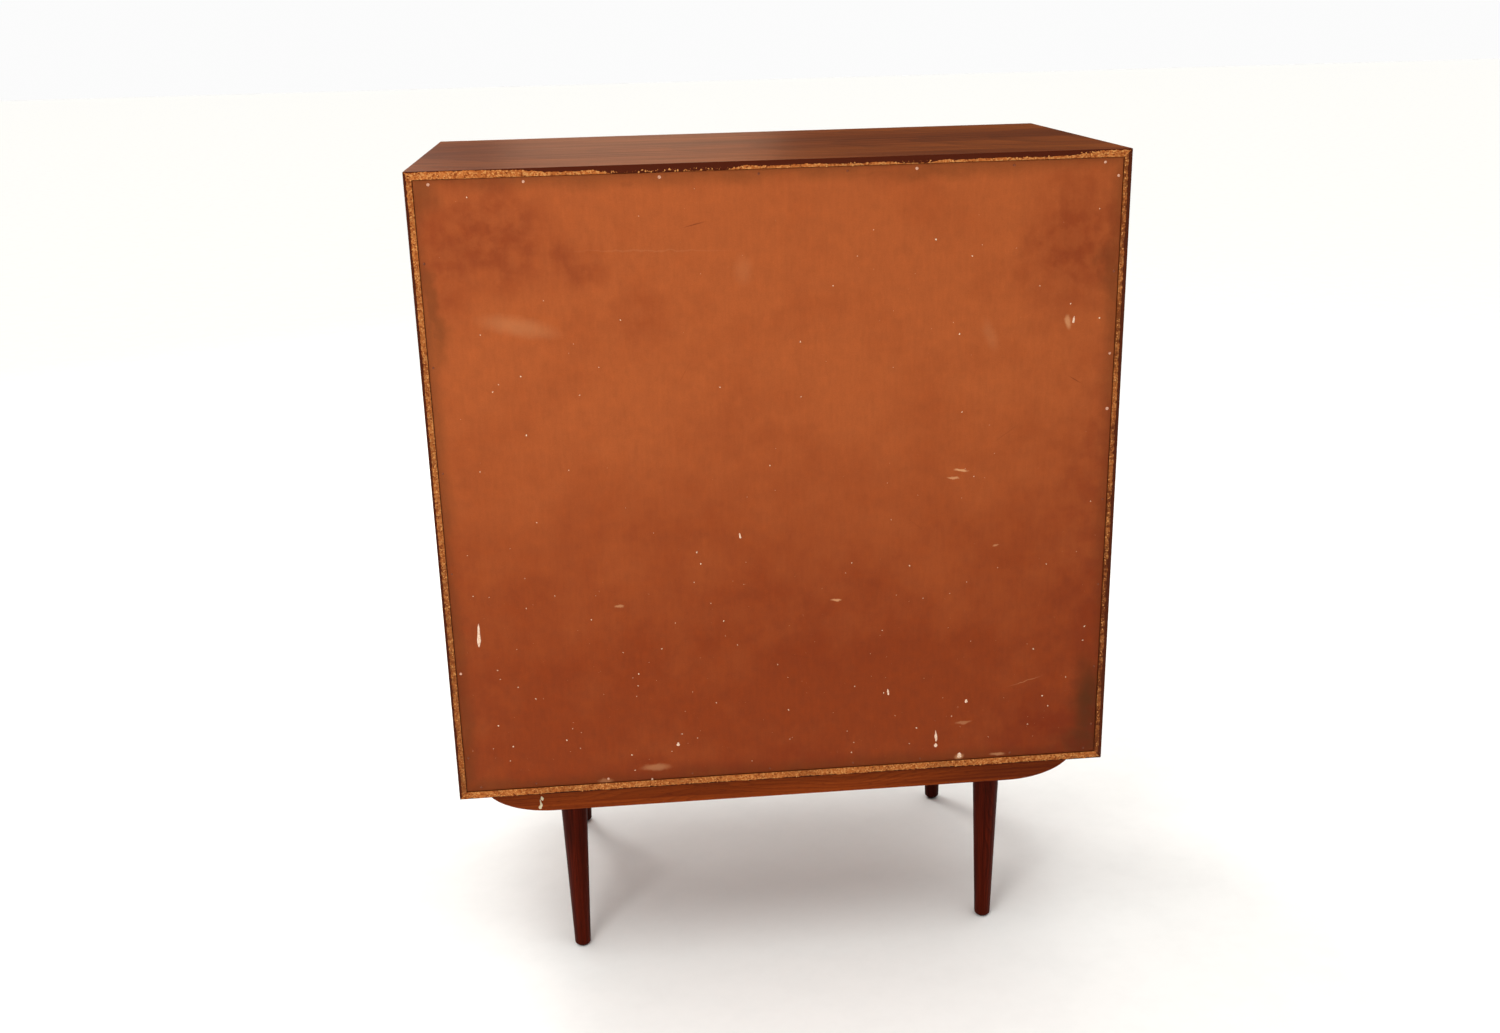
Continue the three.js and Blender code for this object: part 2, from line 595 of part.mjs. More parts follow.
function buildDrawer(level, faceZ) {
  const z = drawerLevels(faceZ);
  const faceX = INNER_X - FACE_GAP;
  const inside = DRAWER_X - DRAWER_SIDE;

  const face = box([-faceX, FACE_Y, faceZ], [faceX, FACE_BACK_Y, faceZ + DRAWER_FACE_HEIGHT]);
  const faceGroove = box(
    [-inside, FACE_BACK_Y - BOTTOM_GROOVE, z.groove],
    [inside, FACE_BACK_Y + 1, z.backLow],
  );
  add(
    `drawer_front_${level}`,
    cutSockets(face, frontTails(z, DOVETAIL_PLAY)).subtract(faceGroove),
    teakVeneer,
  );

  const side = drawerSide(z);
  for (const [place, sign] of SIDES) add(`drawer_side_${level}_${place}`, onSide(side, sign), beech);

  const backBoard = box([-DRAWER_X, rearBoardY, z.backLow], [DRAWER_X, DRAWER_REAR_Y, z.backHigh]);
  const back = cutSockets(backBoard, rearTails(z, DOVETAIL_PLAY));
  const grooves = runnerGroove(z).add(onSide(runnerGroove(z), -1));
  add(`drawer_back_${level}`, back.subtract(grooves), beech);

  const play = HOUSING_PLAY;
  const wide = inside + BOTTOM_GROOVE - play;
  const panel = box(
    [-wide, FACE_BACK_Y + play, z.groove],
    [wide, DRAWER_REAR_Y, z.backLow - play],
  ).add(
    box(
      [-inside + play, FACE_BACK_Y - BOTTOM_GROOVE + play, z.groove],
      [inside - play, FACE_BACK_Y + 1, z.backLow - play],
    ),
  );
  add(`drawer_bottom_${level}`, panel, birchPly);

  for (const [place, sign] of SIDES) {
    const pull = geometryOf(boatPull(DRAWER_PULL_LENGTH));
    pull.translate(sign * DRAWER_PULL_X, FACE_Y, faceZ + DRAWER_FACE_HEIGHT / 2);
    add(`drawer_pull_${level}_${place}`, solid(pull), teakSolid);

    const nose = FACE_BACK_Y + RUNNER_SETBACK;
    const runnerLow = z.runner + RUNNER_PLAY;
    const round = RUNNER_HEIGHT / 2;
    const strip = new THREE.Shape();
    strip.moveTo(nose + RUNNER_LENGTH, runnerLow);
    strip.lineTo(nose + RUNNER_LENGTH, runnerLow + RUNNER_HEIGHT);
    strip.absarc(nose + round, runnerLow + round, round, Math.PI / 2, Math.PI * 1.5, false);
    const runner = slabAlongX(strip, DRAWER_X - RUNNER_SLOT_DEPTH + RUNNER_PLAY, INNER_X);
    add(`drawer_runner_${level}_${place}`, onSide(solid(runner), sign), beech);
  }
}

buildDrawer("lower", LOWER_FACE_Z);
buildDrawer("upper", UPPER_FACE_Z);

export default cabinet;
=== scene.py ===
"""The looks of a console television cabinet in oiled teak, with a nailed hardboard back.

Everything is in metres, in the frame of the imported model: +Z is up, the front faces -Y, the floor is z = 0.
A class is one finish, one kind of small fitting, or one sub-assembly of the cabinet.
"""

import functools
import json
import logging
import math
from collections.abc import Iterable
from dataclasses import dataclass, field
from enum import Enum

import bmesh
import bpy
from mathutils import Matrix, Vector, noise

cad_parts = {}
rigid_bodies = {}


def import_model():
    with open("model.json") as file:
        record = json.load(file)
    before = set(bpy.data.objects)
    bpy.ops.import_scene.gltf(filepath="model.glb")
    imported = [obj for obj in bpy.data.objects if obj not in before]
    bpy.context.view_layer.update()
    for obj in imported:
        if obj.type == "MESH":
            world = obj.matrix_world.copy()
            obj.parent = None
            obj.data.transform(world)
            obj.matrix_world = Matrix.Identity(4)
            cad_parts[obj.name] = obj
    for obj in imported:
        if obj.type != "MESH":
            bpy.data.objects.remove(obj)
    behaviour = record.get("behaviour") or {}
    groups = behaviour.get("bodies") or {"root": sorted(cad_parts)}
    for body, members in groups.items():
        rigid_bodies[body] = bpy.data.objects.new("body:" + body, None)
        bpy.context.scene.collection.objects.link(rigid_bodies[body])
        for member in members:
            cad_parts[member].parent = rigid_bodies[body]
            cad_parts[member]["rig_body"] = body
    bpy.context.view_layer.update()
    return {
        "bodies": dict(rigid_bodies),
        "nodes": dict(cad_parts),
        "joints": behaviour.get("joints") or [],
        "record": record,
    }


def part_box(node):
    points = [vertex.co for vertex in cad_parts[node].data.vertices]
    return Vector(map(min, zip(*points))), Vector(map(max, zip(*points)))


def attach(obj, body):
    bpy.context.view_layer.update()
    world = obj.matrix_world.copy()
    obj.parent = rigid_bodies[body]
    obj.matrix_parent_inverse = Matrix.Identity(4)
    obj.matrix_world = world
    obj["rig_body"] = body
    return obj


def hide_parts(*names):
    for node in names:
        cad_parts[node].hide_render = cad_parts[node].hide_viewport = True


MM = 0.001
SIDES = (("left", -1), ("right", 1))
LEVELS = ("lower", "upper")
LOG = logging.getLogger("cabinet")
SMOOTH = {"interpolation_type": "SMOOTHSTEP"}  # a soft ramp
WARM_WHITE = "#fff9f0"  # colour of the studio's light

Colour = tuple[float, float, float, float]
Place = tuple[float, float, float]
Shape = bmesh.types.BMesh
Node = bpy.types.Node
Source = Node | bpy.types.NodeSocket  # what feeds an input: a socket, or a node, for its first live output
Tree = bpy.types.NodeTree
Piece = bpy.types.Object


# ---- Small tools -------------------------------------------------------------------------------


def linear(hex_colour: str) -> Colour:
    """Turns an sRGB colour into the linear one that shaders use.

    Args:
        hex_colour: The colour as #rrggbb.

    Returns:
        Red, green, blue and an alpha of 1.
    """
    channels = [int(hex_colour[i : i + 2], 16) / 255 for i in (1, 3, 5)]
    lin = [c / 12.92 if c <= 0.04045 else ((c + 0.055) / 1.055) ** 2.4 for c in channels]
    return (*lin, 1.0)


def add_node(tree: Tree, kind: str, inputs: dict | tuple = (), **settings: object) -> Node:
    """Adds a node to a tree, with its settings and its links.

    Args:
        tree: The shader or geometry tree that gets the node.
        kind: The node's type name. ShaderNode may be left off its front.
        inputs: The value of each input or what feeds it, in order, or by name or number.
        settings: The node's own properties. The setting stops holds a colour ramp's places and colours.

    Returns:
        The new node.
    """
    node = tree.nodes.new(kind if "Node" in kind else f"ShaderNode{kind}")
    for index, (place, colour) in enumerate(settings.pop("stops", ())):
        elements = node.color_ramp.elements
        element = elements[index] if index < 2 else elements.new(place)
        element.position = place
        element.color = colour
    for key, value in settings.items():
        setattr(node, key, value)
    for key, value in inputs.items() if isinstance(inputs, dict) else enumerate(inputs):
        if isinstance(value, Node):
            value = next(output for output in value.outputs if output.enabled)
        if isinstance(value, bpy.types.NodeSocket):
            tree.links.new(value, node.inputs[key])
        else:
            node.inputs[key].default_value = value
    return node


def new_piece(name: str, mesh: bpy.types.Mesh, *materials: bpy.types.Material) -> Piece:
    """Links a mesh to the scene as an object at the origin.

    Args:
        name: The object's name.
        mesh: Its mesh, already in place.
        materials: The materials of its slots.

    Returns:
        The new object.
    """
    piece = bpy.data.objects.new(name, mesh)
    bpy.context.scene.collection.objects.link(piece)
    for material in materials:
        mesh.materials.append(material)
    return piece


def mesh_from(shape: Shape, name: str, fold: float | None = None) -> bpy.types.Mesh:
    """Turns a bmesh into a clean mesh and frees it.

    Args:
        shape: The bmesh.
        name: The new mesh's name.
        fold: Edges that turn less than this many degrees are shaded smooth. None leaves all flat.

    Returns:
        The mesh.
    """
    shape.verts.index_update()
    corners = [vertex.co[:] for vertex in shape.verts]
    faces = [[vertex.index for vertex in face.verts] for face in shape.faces]
    slots = [face.material_index for face in shape.faces]
    shape.free()
    mesh = bpy.data.meshes.new(name)
    mesh.from_pydata(corners, [], faces)
    mesh.polygons.foreach_set("material_index", slots)
    if fold is not None:
        mesh.shade_smooth()
        mesh.set_sharp_from_angle(angle=math.radians(fold))
    return mesh


def add_prism(
    shape: Shape, outline: list[tuple[float, float]], low: float, high: float, slot: int = 0
) -> None:
    """Adds a closed upright prism to a mesh.

    Args:
        shape: The mesh that gets the prism.
        outline: Its outline, anticlockwise seen from above.
        low: The height of its underside.
        high: The height of its top.
        slot: The material slot of its faces.
    """
    floor = [shape.verts.new((x, y, low)) for x, y in outline]
    roof = [shape.verts.new((x, y, high)) for x, y in outline]
    faces = [shape.faces.new(list(reversed(floor))), shape.faces.new(roof)]
    for i, corner in enumerate(floor):
        j = (i + 1) % len(floor)
        faces.append(shape.faces.new((corner, floor[j], roof[j], roof[i])))
    for face in faces:
        face.material_index = slot


def add_block(shape: Shape, low: Iterable[float], high: Iterable[float], slot: int = 0) -> None:
    """Adds a closed block between two corners.

    Args:
        shape: The mesh that gets the block.
        low: Its lowest corner.
        high: Its highest corner.
        slot: The material slot of its faces.
    """
    (x0, y0, z0), (x1, y1, z1) = low, high
    add_prism(shape, [(x0, y0), (x1, y0), (x1, y1), (x0, y1)], z0, z1, slot)


def chamfer(shape: Shape, width: float, fold: float) -> None:
    """Takes the sharpness off the outer edges of a shape.

    Args:
        shape: The shape.
        width: The width taken off each face, in metres.
        fold: Only edges that turn more than this many degrees are cut.
    """
    sharp = [
        edge
        for edge in shape.edges
        if edge.is_manifold and edge.is_convex and edge.calc_face_angle(0) > math.radians(fold)
    ]
    bmesh.ops.bevel(shape, geom=sharp, offset=width, segments=1, profile=0.5, affect="EDGES")


# ---- Wood --------------------------------------------------------------------------------------


class Grain(Enum):
    """Which way the fibres run. A value orders the axes: across the face, through it, along the grain."""

    X_LYING = (1, 2, 0)
    X_STANDING = (2, 1, 0)
    Y_LYING = (0, 2, 1)
    Y_STANDING = (2, 0, 1)
    Z_FACING_SIDE = (1, 0, 2)
    Z_FACING_FRONT = (0, 1, 2)


@dataclass(frozen=True)
class Surface:
    """What a finish hands to its shader."""

    colour: Source
    roughness: Source
    height: Source


@dataclass(frozen=True)
class Finish:
    """A material: what it is and how its surface was made. Subclasses draw the surface."""

    name: str = "finish"
    bump: float = 0.15
    relief: float = 0.3  # depth of the relief in millimetres
    metallic: float = 0.0
    specular: float = 0.3
    coat: float = 0.0
    coat_roughness: float = 0.25

    def surface(self, tree: Tree) -> Surface:
        """Draws the surface; every kind of finish has its own way."""
        raise NotImplementedError

    def build(self) -> bpy.types.Material:
        """Makes the material.

        Returns:
            The material, with its shader.
        """
        material = bpy.data.materials.new(self.name)
        material.use_nodes = True
        tree = material.node_tree
        add = functools.partial(add_node, tree)
        tree.nodes.clear()
        look = self.surface(tree)
        relief = add("Bump", {"Strength": self.bump, "Distance": self.relief * MM, "Height": look.height})
        shader = add(
            "BsdfPrincipled",
            {
                "Base Color": look.colour,
                "Roughness": look.roughness,
                "Normal": relief,
                "Metallic": self.metallic,
                "Specular IOR Level": self.specular,
                "Coat Weight": self.coat,
                "Coat Roughness": self.coat_roughness,
            },
        )
        add("OutputMaterial", (shader,))
        return material


@functools.cache
def material_of(finish: Finish) -> bpy.types.Material:
    """Makes each finish's material once."""
    return finish.build()


def stretched(tree: Tree, fibre: Source, width: float, length: float, detail: float) -> Source:
    """Noise drawn out along the grain.

    Args:
        tree: The material's tree.
        fibre: Coordinates with the grain along their third axis.
        width: A streak's width across the grain, in millimetres.
        length: Its length along the grain, in millimetres.
        detail: How many finer layers the noise has.

    Returns:
        The noise, from 0 to 1.
    """
    add = functools.partial(add_node, tree)
    pull = (1 / (width * MM), 1 / (width * MM), 1 / (length * MM))
    drawn = add("VectorMath", (fibre, pull), operation="MULTIPLY")
    return add("TexNoise", {"Vector": drawn, "Scale": 1.0, "Detail": detail, "Roughness": 0.55})


@dataclass(frozen=True)
class Wood(Finish):
    """A board or a turned piece: growth rings cut at a slant, stripes, blotches and open pores."""

    grain: Grain = Grain.X_LYING
    dark: str = "#4a210c"
    middle: str = "#733814"
    light: str = "#94501f"
    leaf: float = 0.0  # width of a veneer leaf in metres, laid book-matched. 0 is a solid board
    heart: float = 0.0  # where the tree's heart lies across the board, in metres
    heart_depth: float = 0.05  # how deep it lies under the face halfway along, in metres
    drift: float = 0.11  # how far the rings wander across the board, in metres
    ring: float = 5.5  # spacing of the growth rings in millimetres
    climb: float = 0.09  # how fast the rings climb out of the face; it makes the pointed arches
    ring_strength: float = 0.5
    pore: tuple[float, float] = (1.0, 13.0)  # width and length in millimetres, coarse enough to show
    pore_strength: float = 0.45
    pore_colour: str = "#1f0d06"
    roughness: float = 0.45

    def surface(self, tree: Tree) -> Surface:
        """Draws the figure.

        Args:
            tree: The material's tree.

        Returns:
            The colour, roughness and height of the wood.
        """
        add = functools.partial(add_node, tree)
        place = add("TexCoord").outputs
        axes = add("SeparateXYZ", (place["Object"],)).outputs
        across, through, along = (axes[i] for i in self.grain.value)
        if self.leaf:
            across = add("Math", (across, self.leaf), operation="PINGPONG")
        fibre = add("CombineXYZ", (across, through, along))
        wander = stretched(tree, fibre, 70, 420, 2)
        stripes = stretched(tree, fibre, 4.5, 380, 4)
        tone = stretched(tree, fibre, 130, 600, 2)
        pores = stretched(tree, fibre, *self.pore, 1)

        shift = add("Math", (wander, self.drift, across), operation="MULTIPLY_ADD")
        side = add("Math", (shift, self.heart + self.drift / 2), operation="SUBTRACT")
        depth = add("Math", (along, self.climb, self.heart_depth), operation="MULTIPLY_ADD")
        deep = add("Math", (depth, through), operation="ADD")
        radius = add("CombineXYZ", (side, deep))
        rings = add("VectorMath", (radius,), operation="LENGTH")
        turns = add("Math", (rings, 1 / (self.ring * MM)), operation="MULTIPLY")
        season = add("Math", (turns,), operation="FRACT")
        late = add(
            "ValToRGB",
            (season,),
            stops=(
                (0.0, (0.35, 0.35, 0.35, 1)),
                (0.12, (0, 0, 0, 1)),
                (0.62, (0.3, 0.3, 0.3, 1)),
                (0.95, (1, 1, 1, 1)),
            ),
        )
        uneven = add("MapRange", (tone, 0.35, 0.65, 0.45 * self.ring_strength, self.ring_strength))
        lines = add("Math", (late, uneven), operation="MULTIPLY")
        blend = add("Mix", {0: 0.45, 2: stripes, 3: tone}, data_type="FLOAT")
        base = add(
            "ValToRGB",
            (blend,),
            stops=((0.36, linear(self.dark)), (0.5, linear(self.middle)), (0.64, linear(self.light))),
        )
        ringed = add("Mix", {0: lines, 6: base, 7: linear(self.dark)}, data_type="RGBA")
        open_pores = add("MapRange", (pores, 0.6, 0.72, 0.0, self.pore_strength), **SMOOTH)
        pored = add("Mix", {0: open_pores, 6: ringed, 7: linear(self.pore_colour)}, data_type="RGBA")
        sheen = add("MapRange", (stripes, 0.3, 0.7, self.roughness + 0.06, self.roughness - 0.05))
        height = add("Math", (open_pores, -1.2, stripes), operation="MULTIPLY_ADD")
        return Surface(pored, sheen, height)


@dataclass(frozen=True)
class OiledTeakVeneer(Wood):
    """Sliced teak veneer, sanded and oiled: brown with dark arches and a low, soft gloss."""

    name: str = "oiled_teak_veneer"
    specular: float = 0.12
    coat: float = 0.04


@dataclass(frozen=True)
class TurnedTeak(Wood):
    """Solid dark teak, turned and oiled: near-black red-brown, with tight straight lines up the leg."""

    name: str = "turned_oiled_teak"
    grain: Grain = Grain.Z_FACING_FRONT
    dark: str = "#260803"
    middle: str = "#431005"
    light: str = "#591808"
    ring: float = 3.0
    climb: float = 0.02
    ring_strength: float = 0.55
    roughness: float = 0.4
    specular: float = 0.025


@dataclass(frozen=True)
class ShapedTeak(TurnedTeak):
    """Solid teak, rasped to shape and worn smooth by hands: browner than the legs, softly glossy."""

    name: str = "shaped_teak_pull"
    dark: str = "#35140a"
    middle: str = "#57260f"
    light: str = "#6f3617"
    roughness: float = 0.36
    specular: float = 0.12


@dataclass(frozen=True)
class PlanedTeak(Wood):
    """Solid teak, planed, its edges rounded by hand: reddish, with a soft sheen along the rounding."""

    name: str = "planed_solid_teak"
    grain: Grain = Grain.X_STANDING
    dark: str = "#5c210b"
    middle: str = "#86380f"
    light: str = "#9d4615"
    ring: float = 4.5
    climb: float = 0.03
    ring_strength: float = 0.4
    roughness: float = 0.48
    specular: float = 0.04


@dataclass(frozen=True)
class PlanedBeech(Wood):
    """Unfinished planed beech: pale pinkish brown with short dark flecks and hardly any gloss."""

    name: str = "planed_beech"
    dark: str = "#9c7350"
    middle: str = "#b98f66"
    light: str = "#cba67c"
    ring: float = 3.5
    climb: float = 0.02
    ring_strength: float = 0.25
    pore: tuple[float, float] = (0.9, 4.0)
    pore_strength: float = 0.22
    roughness: float = 0.62


@dataclass(frozen=True)
class BirchPlywood(Wood):
    """Rotary-cut birch plywood: pale, with broad wild figure and faint wavy lines."""

    name: str = "birch_plywood"
    dark: str = "#b08a5c"
    middle: str = "#c8a573"
    light: str = "#d6b888"
    ring: float = 14.0
    climb: float = 0.12
    ring_strength: float = 0.25
    pore_strength: float = 0.08
    roughness: float = 0.6


class Edge(Enum):
    """The outer face of a case board. A value is its axis, and which way the face looks."""

    TOP = (2, 1)
    BOTTOM = (2, -1)
    LEFT = (0, -1)
    RIGHT = (0, 1)


@dataclass(frozen=True)
class RawEdgedTeakVeneer(OiledTeakVeneer):
    """Teak veneer on chipboard. The rear edge was sawn and left: orange crumbs beside a dark skin."""

    name: str = "teak_veneer_on_chipboard"
    specular: float = 0.04
    edge: Edge = Edge.TOP
    edge_at: float = 0.0  # where the outer face lies
    skin: float = 1.2  # width in millimetres of the dark band along the outer face: the veneer's dark edge, partly painted shade
    tear: float = 2.0  # how far that band wanders, in millimetres
    skin_colour: str = "#2a0e07"
    # where stain ran over the rim: from and to in x, and how many millimetres wide
    stained: tuple[tuple[float, float, float], ...] = ()
    dirt: str = "#5c2a12"
    grime: float = 0.15  # how much dirt clings to the raw edge
    low_darkening: float = 0.0  # how much darker the raw edge grows low down
    chip: float = 2.0  # width of a wood chip in millimetres

    def surface(self, tree: Tree) -> Surface:
        """Draws the veneer, with raw chipboard on the faces that look to the rear.

        Args:
            tree: The material's tree.

        Returns:
            The colour, roughness and height of the board.
        """
        add = functools.partial(add_node, tree)
        veneer = super().surface(tree)
        place = add("TexCoord").outputs
        axes = add("SeparateXYZ", (place["Object"],)).outputs
        facing = add("SeparateXYZ", (place["Normal"],)).outputs
        rear = add("Math", (facing[1], 0.5), operation="GREATER_THAN")

        axis, sign = self.edge.value
        inset = add("Math", (axes[axis], -sign, sign * self.edge_at), operation="MULTIPLY_ADD")
        fine = add("TexNoise", {"Vector": place["Object"], "Scale": 190.0, "Detail": 2.0})
        broad = add("TexNoise", {"Vector": place["Object"], "Scale": 22.0, "Detail": 2.0})
        ragged = add("Math", (fine, broad), operation="ADD")
        band = add("Math", (ragged, self.tear * MM, (self.skin - self.tear) * MM), operation="MULTIPLY_ADD")
        width = band
        for near, far, wide in self.stained:
            offset = add("Math", (axes[0], (near + far) / 2), operation="SUBTRACT")
            distance = add("Math", (offset,), operation="ABSOLUTE")
            half = (far - near) / 2
            reach = add("MapRange", (distance, half - 0.03, half + 0.01, wide * MM, 0.0))
            ran = add("Math", (band, reach), operation="ADD")
            width = add("Math", (width, ran), operation="MAXIMUM")
        # the dark band along the outer face: partly the veneer's dark edge, partly painted shade
        skin = add("Math", (inset, width), operation="LESS_THAN")

        chips = add("TexVoronoi", {"Vector": place["Object"], "Scale": 1 / (self.chip * MM)})
        shade = add("SeparateColor", (chips.outputs["Color"],))
        raw = add(
            "ValToRGB",
            (shade,),
            stops=(
                (0.0, linear("#7c3a18")),
                (0.25, linear("#ad5f2a")),
                (0.7, linear("#c0743a")),
                (1.0, linear("#d49556")),
            ),
        )
        clinging = add(
            "MapRange", (ragged, 0.8, 1.2, 0.35 * self.grime, min(1.0, 1.6 * self.grime)), **SMOOTH
        )
        # darker towards the bottom
        lower = add("MapRange", (axes[2], 0.95, 0.5, 0.0, self.low_darkening))
        dirt = add("Math", (clinging, lower), operation="ADD")
        dirty = add("Mix", {0: dirt, 6: raw, 7: linear(self.dirt)}, data_type="RGBA")
        edged = add("Mix", {0: skin, 6: dirty, 7: linear(self.skin_colour)}, data_type="RGBA")
        colour = add("Mix", {0: rear, 6: veneer.colour, 7: edged}, data_type="RGBA")
        rough = add("Mix", {0: rear, 2: veneer.roughness, 3: 0.8}, data_type="FLOAT")
        height = add("Mix", {0: rear, 2: veneer.height, 3: chips.outputs["Distance"]}, data_type="FLOAT")
        return Surface(colour, rough, height)


# ---- The back panel's board --------------------------------------------------------------------


@dataclass(frozen=True)
class Mark:
    """A mark on the panel: its middle and half sizes in millimetres, its tilt in degrees, its strength."""

    x: float
    z: float
    wide: float
    tall: float
    strength: float
    tilt: float = 0.0
    hard: float = 0.15  # share of the half size over which the mark keeps its full strength


STAINS = (
    Mark(346, 1036, 124, 98, 0.55, 25),
    Mark(400, 1012, 50, 125, 0.48, 8),
    Mark(252, 1006, 56, 56, 0.42, 40),
    Mark(170, 930, 60, 50, 0.3, 20),
    Mark(-385, 1000, 95, 150, 0.55, 10),
    Mark(-415, 760, 30, 150, 0.4),
    Mark(-330, 320, 110, 70, 0.4, -12),
    Mark(60, 300, 400, 30, 0.35),
    Mark(410, 420, 50, 130, 0.3),
    Mark(-60, 520, 210, 130, 0.25),
    Mark(60, 760, 260, 120, 0.12),
    Mark(-450, 620, 150, 420, 0.42),
    Mark(-400, 320, 190, 110, 0.62),
)
# Dark marks near the panel's edges: partly grime, partly painted shade beside the case's rim.
EDGE_GRIME_AND_SHADE = (
    Mark(428, 1088, 36, 56, 0.42, 12),
    Mark(432, 970, 16, 180, 0.42),
    Mark(-434, 350, 46, 120, 0.82, -4),
    Mark(-424, 300, 70, 44, 0.8),
    Mark(-432, 960, 22, 120, 0.45),
    Mark(0, 1106, 440, 8, 0.25),
    Mark(-250, 1104, 190, 22, 0.35),
)
SMEARS = (
    Mark(325, 927, 66, 17, 0.17, 12),
    Mark(-275, 892, 30, 12, 0.08, 70),
    Mark(42, 987, 16, 26, 0.07),
    Mark(-377, 905, 5, 12, 0.5, -10, 0.3),
    Mark(160, 1016, 130, 1.6, 0.07, 2),
    Mark(-240, 712, 12, 2.4, 0.75, 8, 0.4),
    Mark(-230, 702, 9, 2.0, 0.6, 4, 0.4),
    Mark(-72, 538, 9, 2.0, 0.7, 5, 0.4),
    Mark(218, 547, 8, 2.4, 0.45, 0, 0.4),
    Mark(-290, 604, 6, 1.6, 0.45, 0, 0.4),
    Mark(180, 306, 26, 7, 0.3, 0, 0.3),
    Mark(250, 290, 14, 5, 0.25, 0, 0.3),
    Mark(-337, 402, 32, 0.9, 0.3, -14),
    Mark(-250, 345, 14, 3, 0.3, 0, 0.3),
    Mark(-300, 292, 15, 3.5, 0.4, 0, 0.3),
    Mark(-246, 292, 9, 6, 0.6, 0, 0.3),
)
SCRATCHES = (
    Mark(101, 1046, 19, 1.1, 0.6, -13),
    Mark(-389, 828, 14, 1.0, 0.6, 32),
    Mark(-300, 760, 28, 0.8, 0.3, -35),
    Mark(-180, 640, 20, 0.8, 0.25, 40),
    Mark(120, 860, 24, 0.8, 0.2, -60),
    Mark(-20, 460, 30, 0.8, 0.22, 15),
)


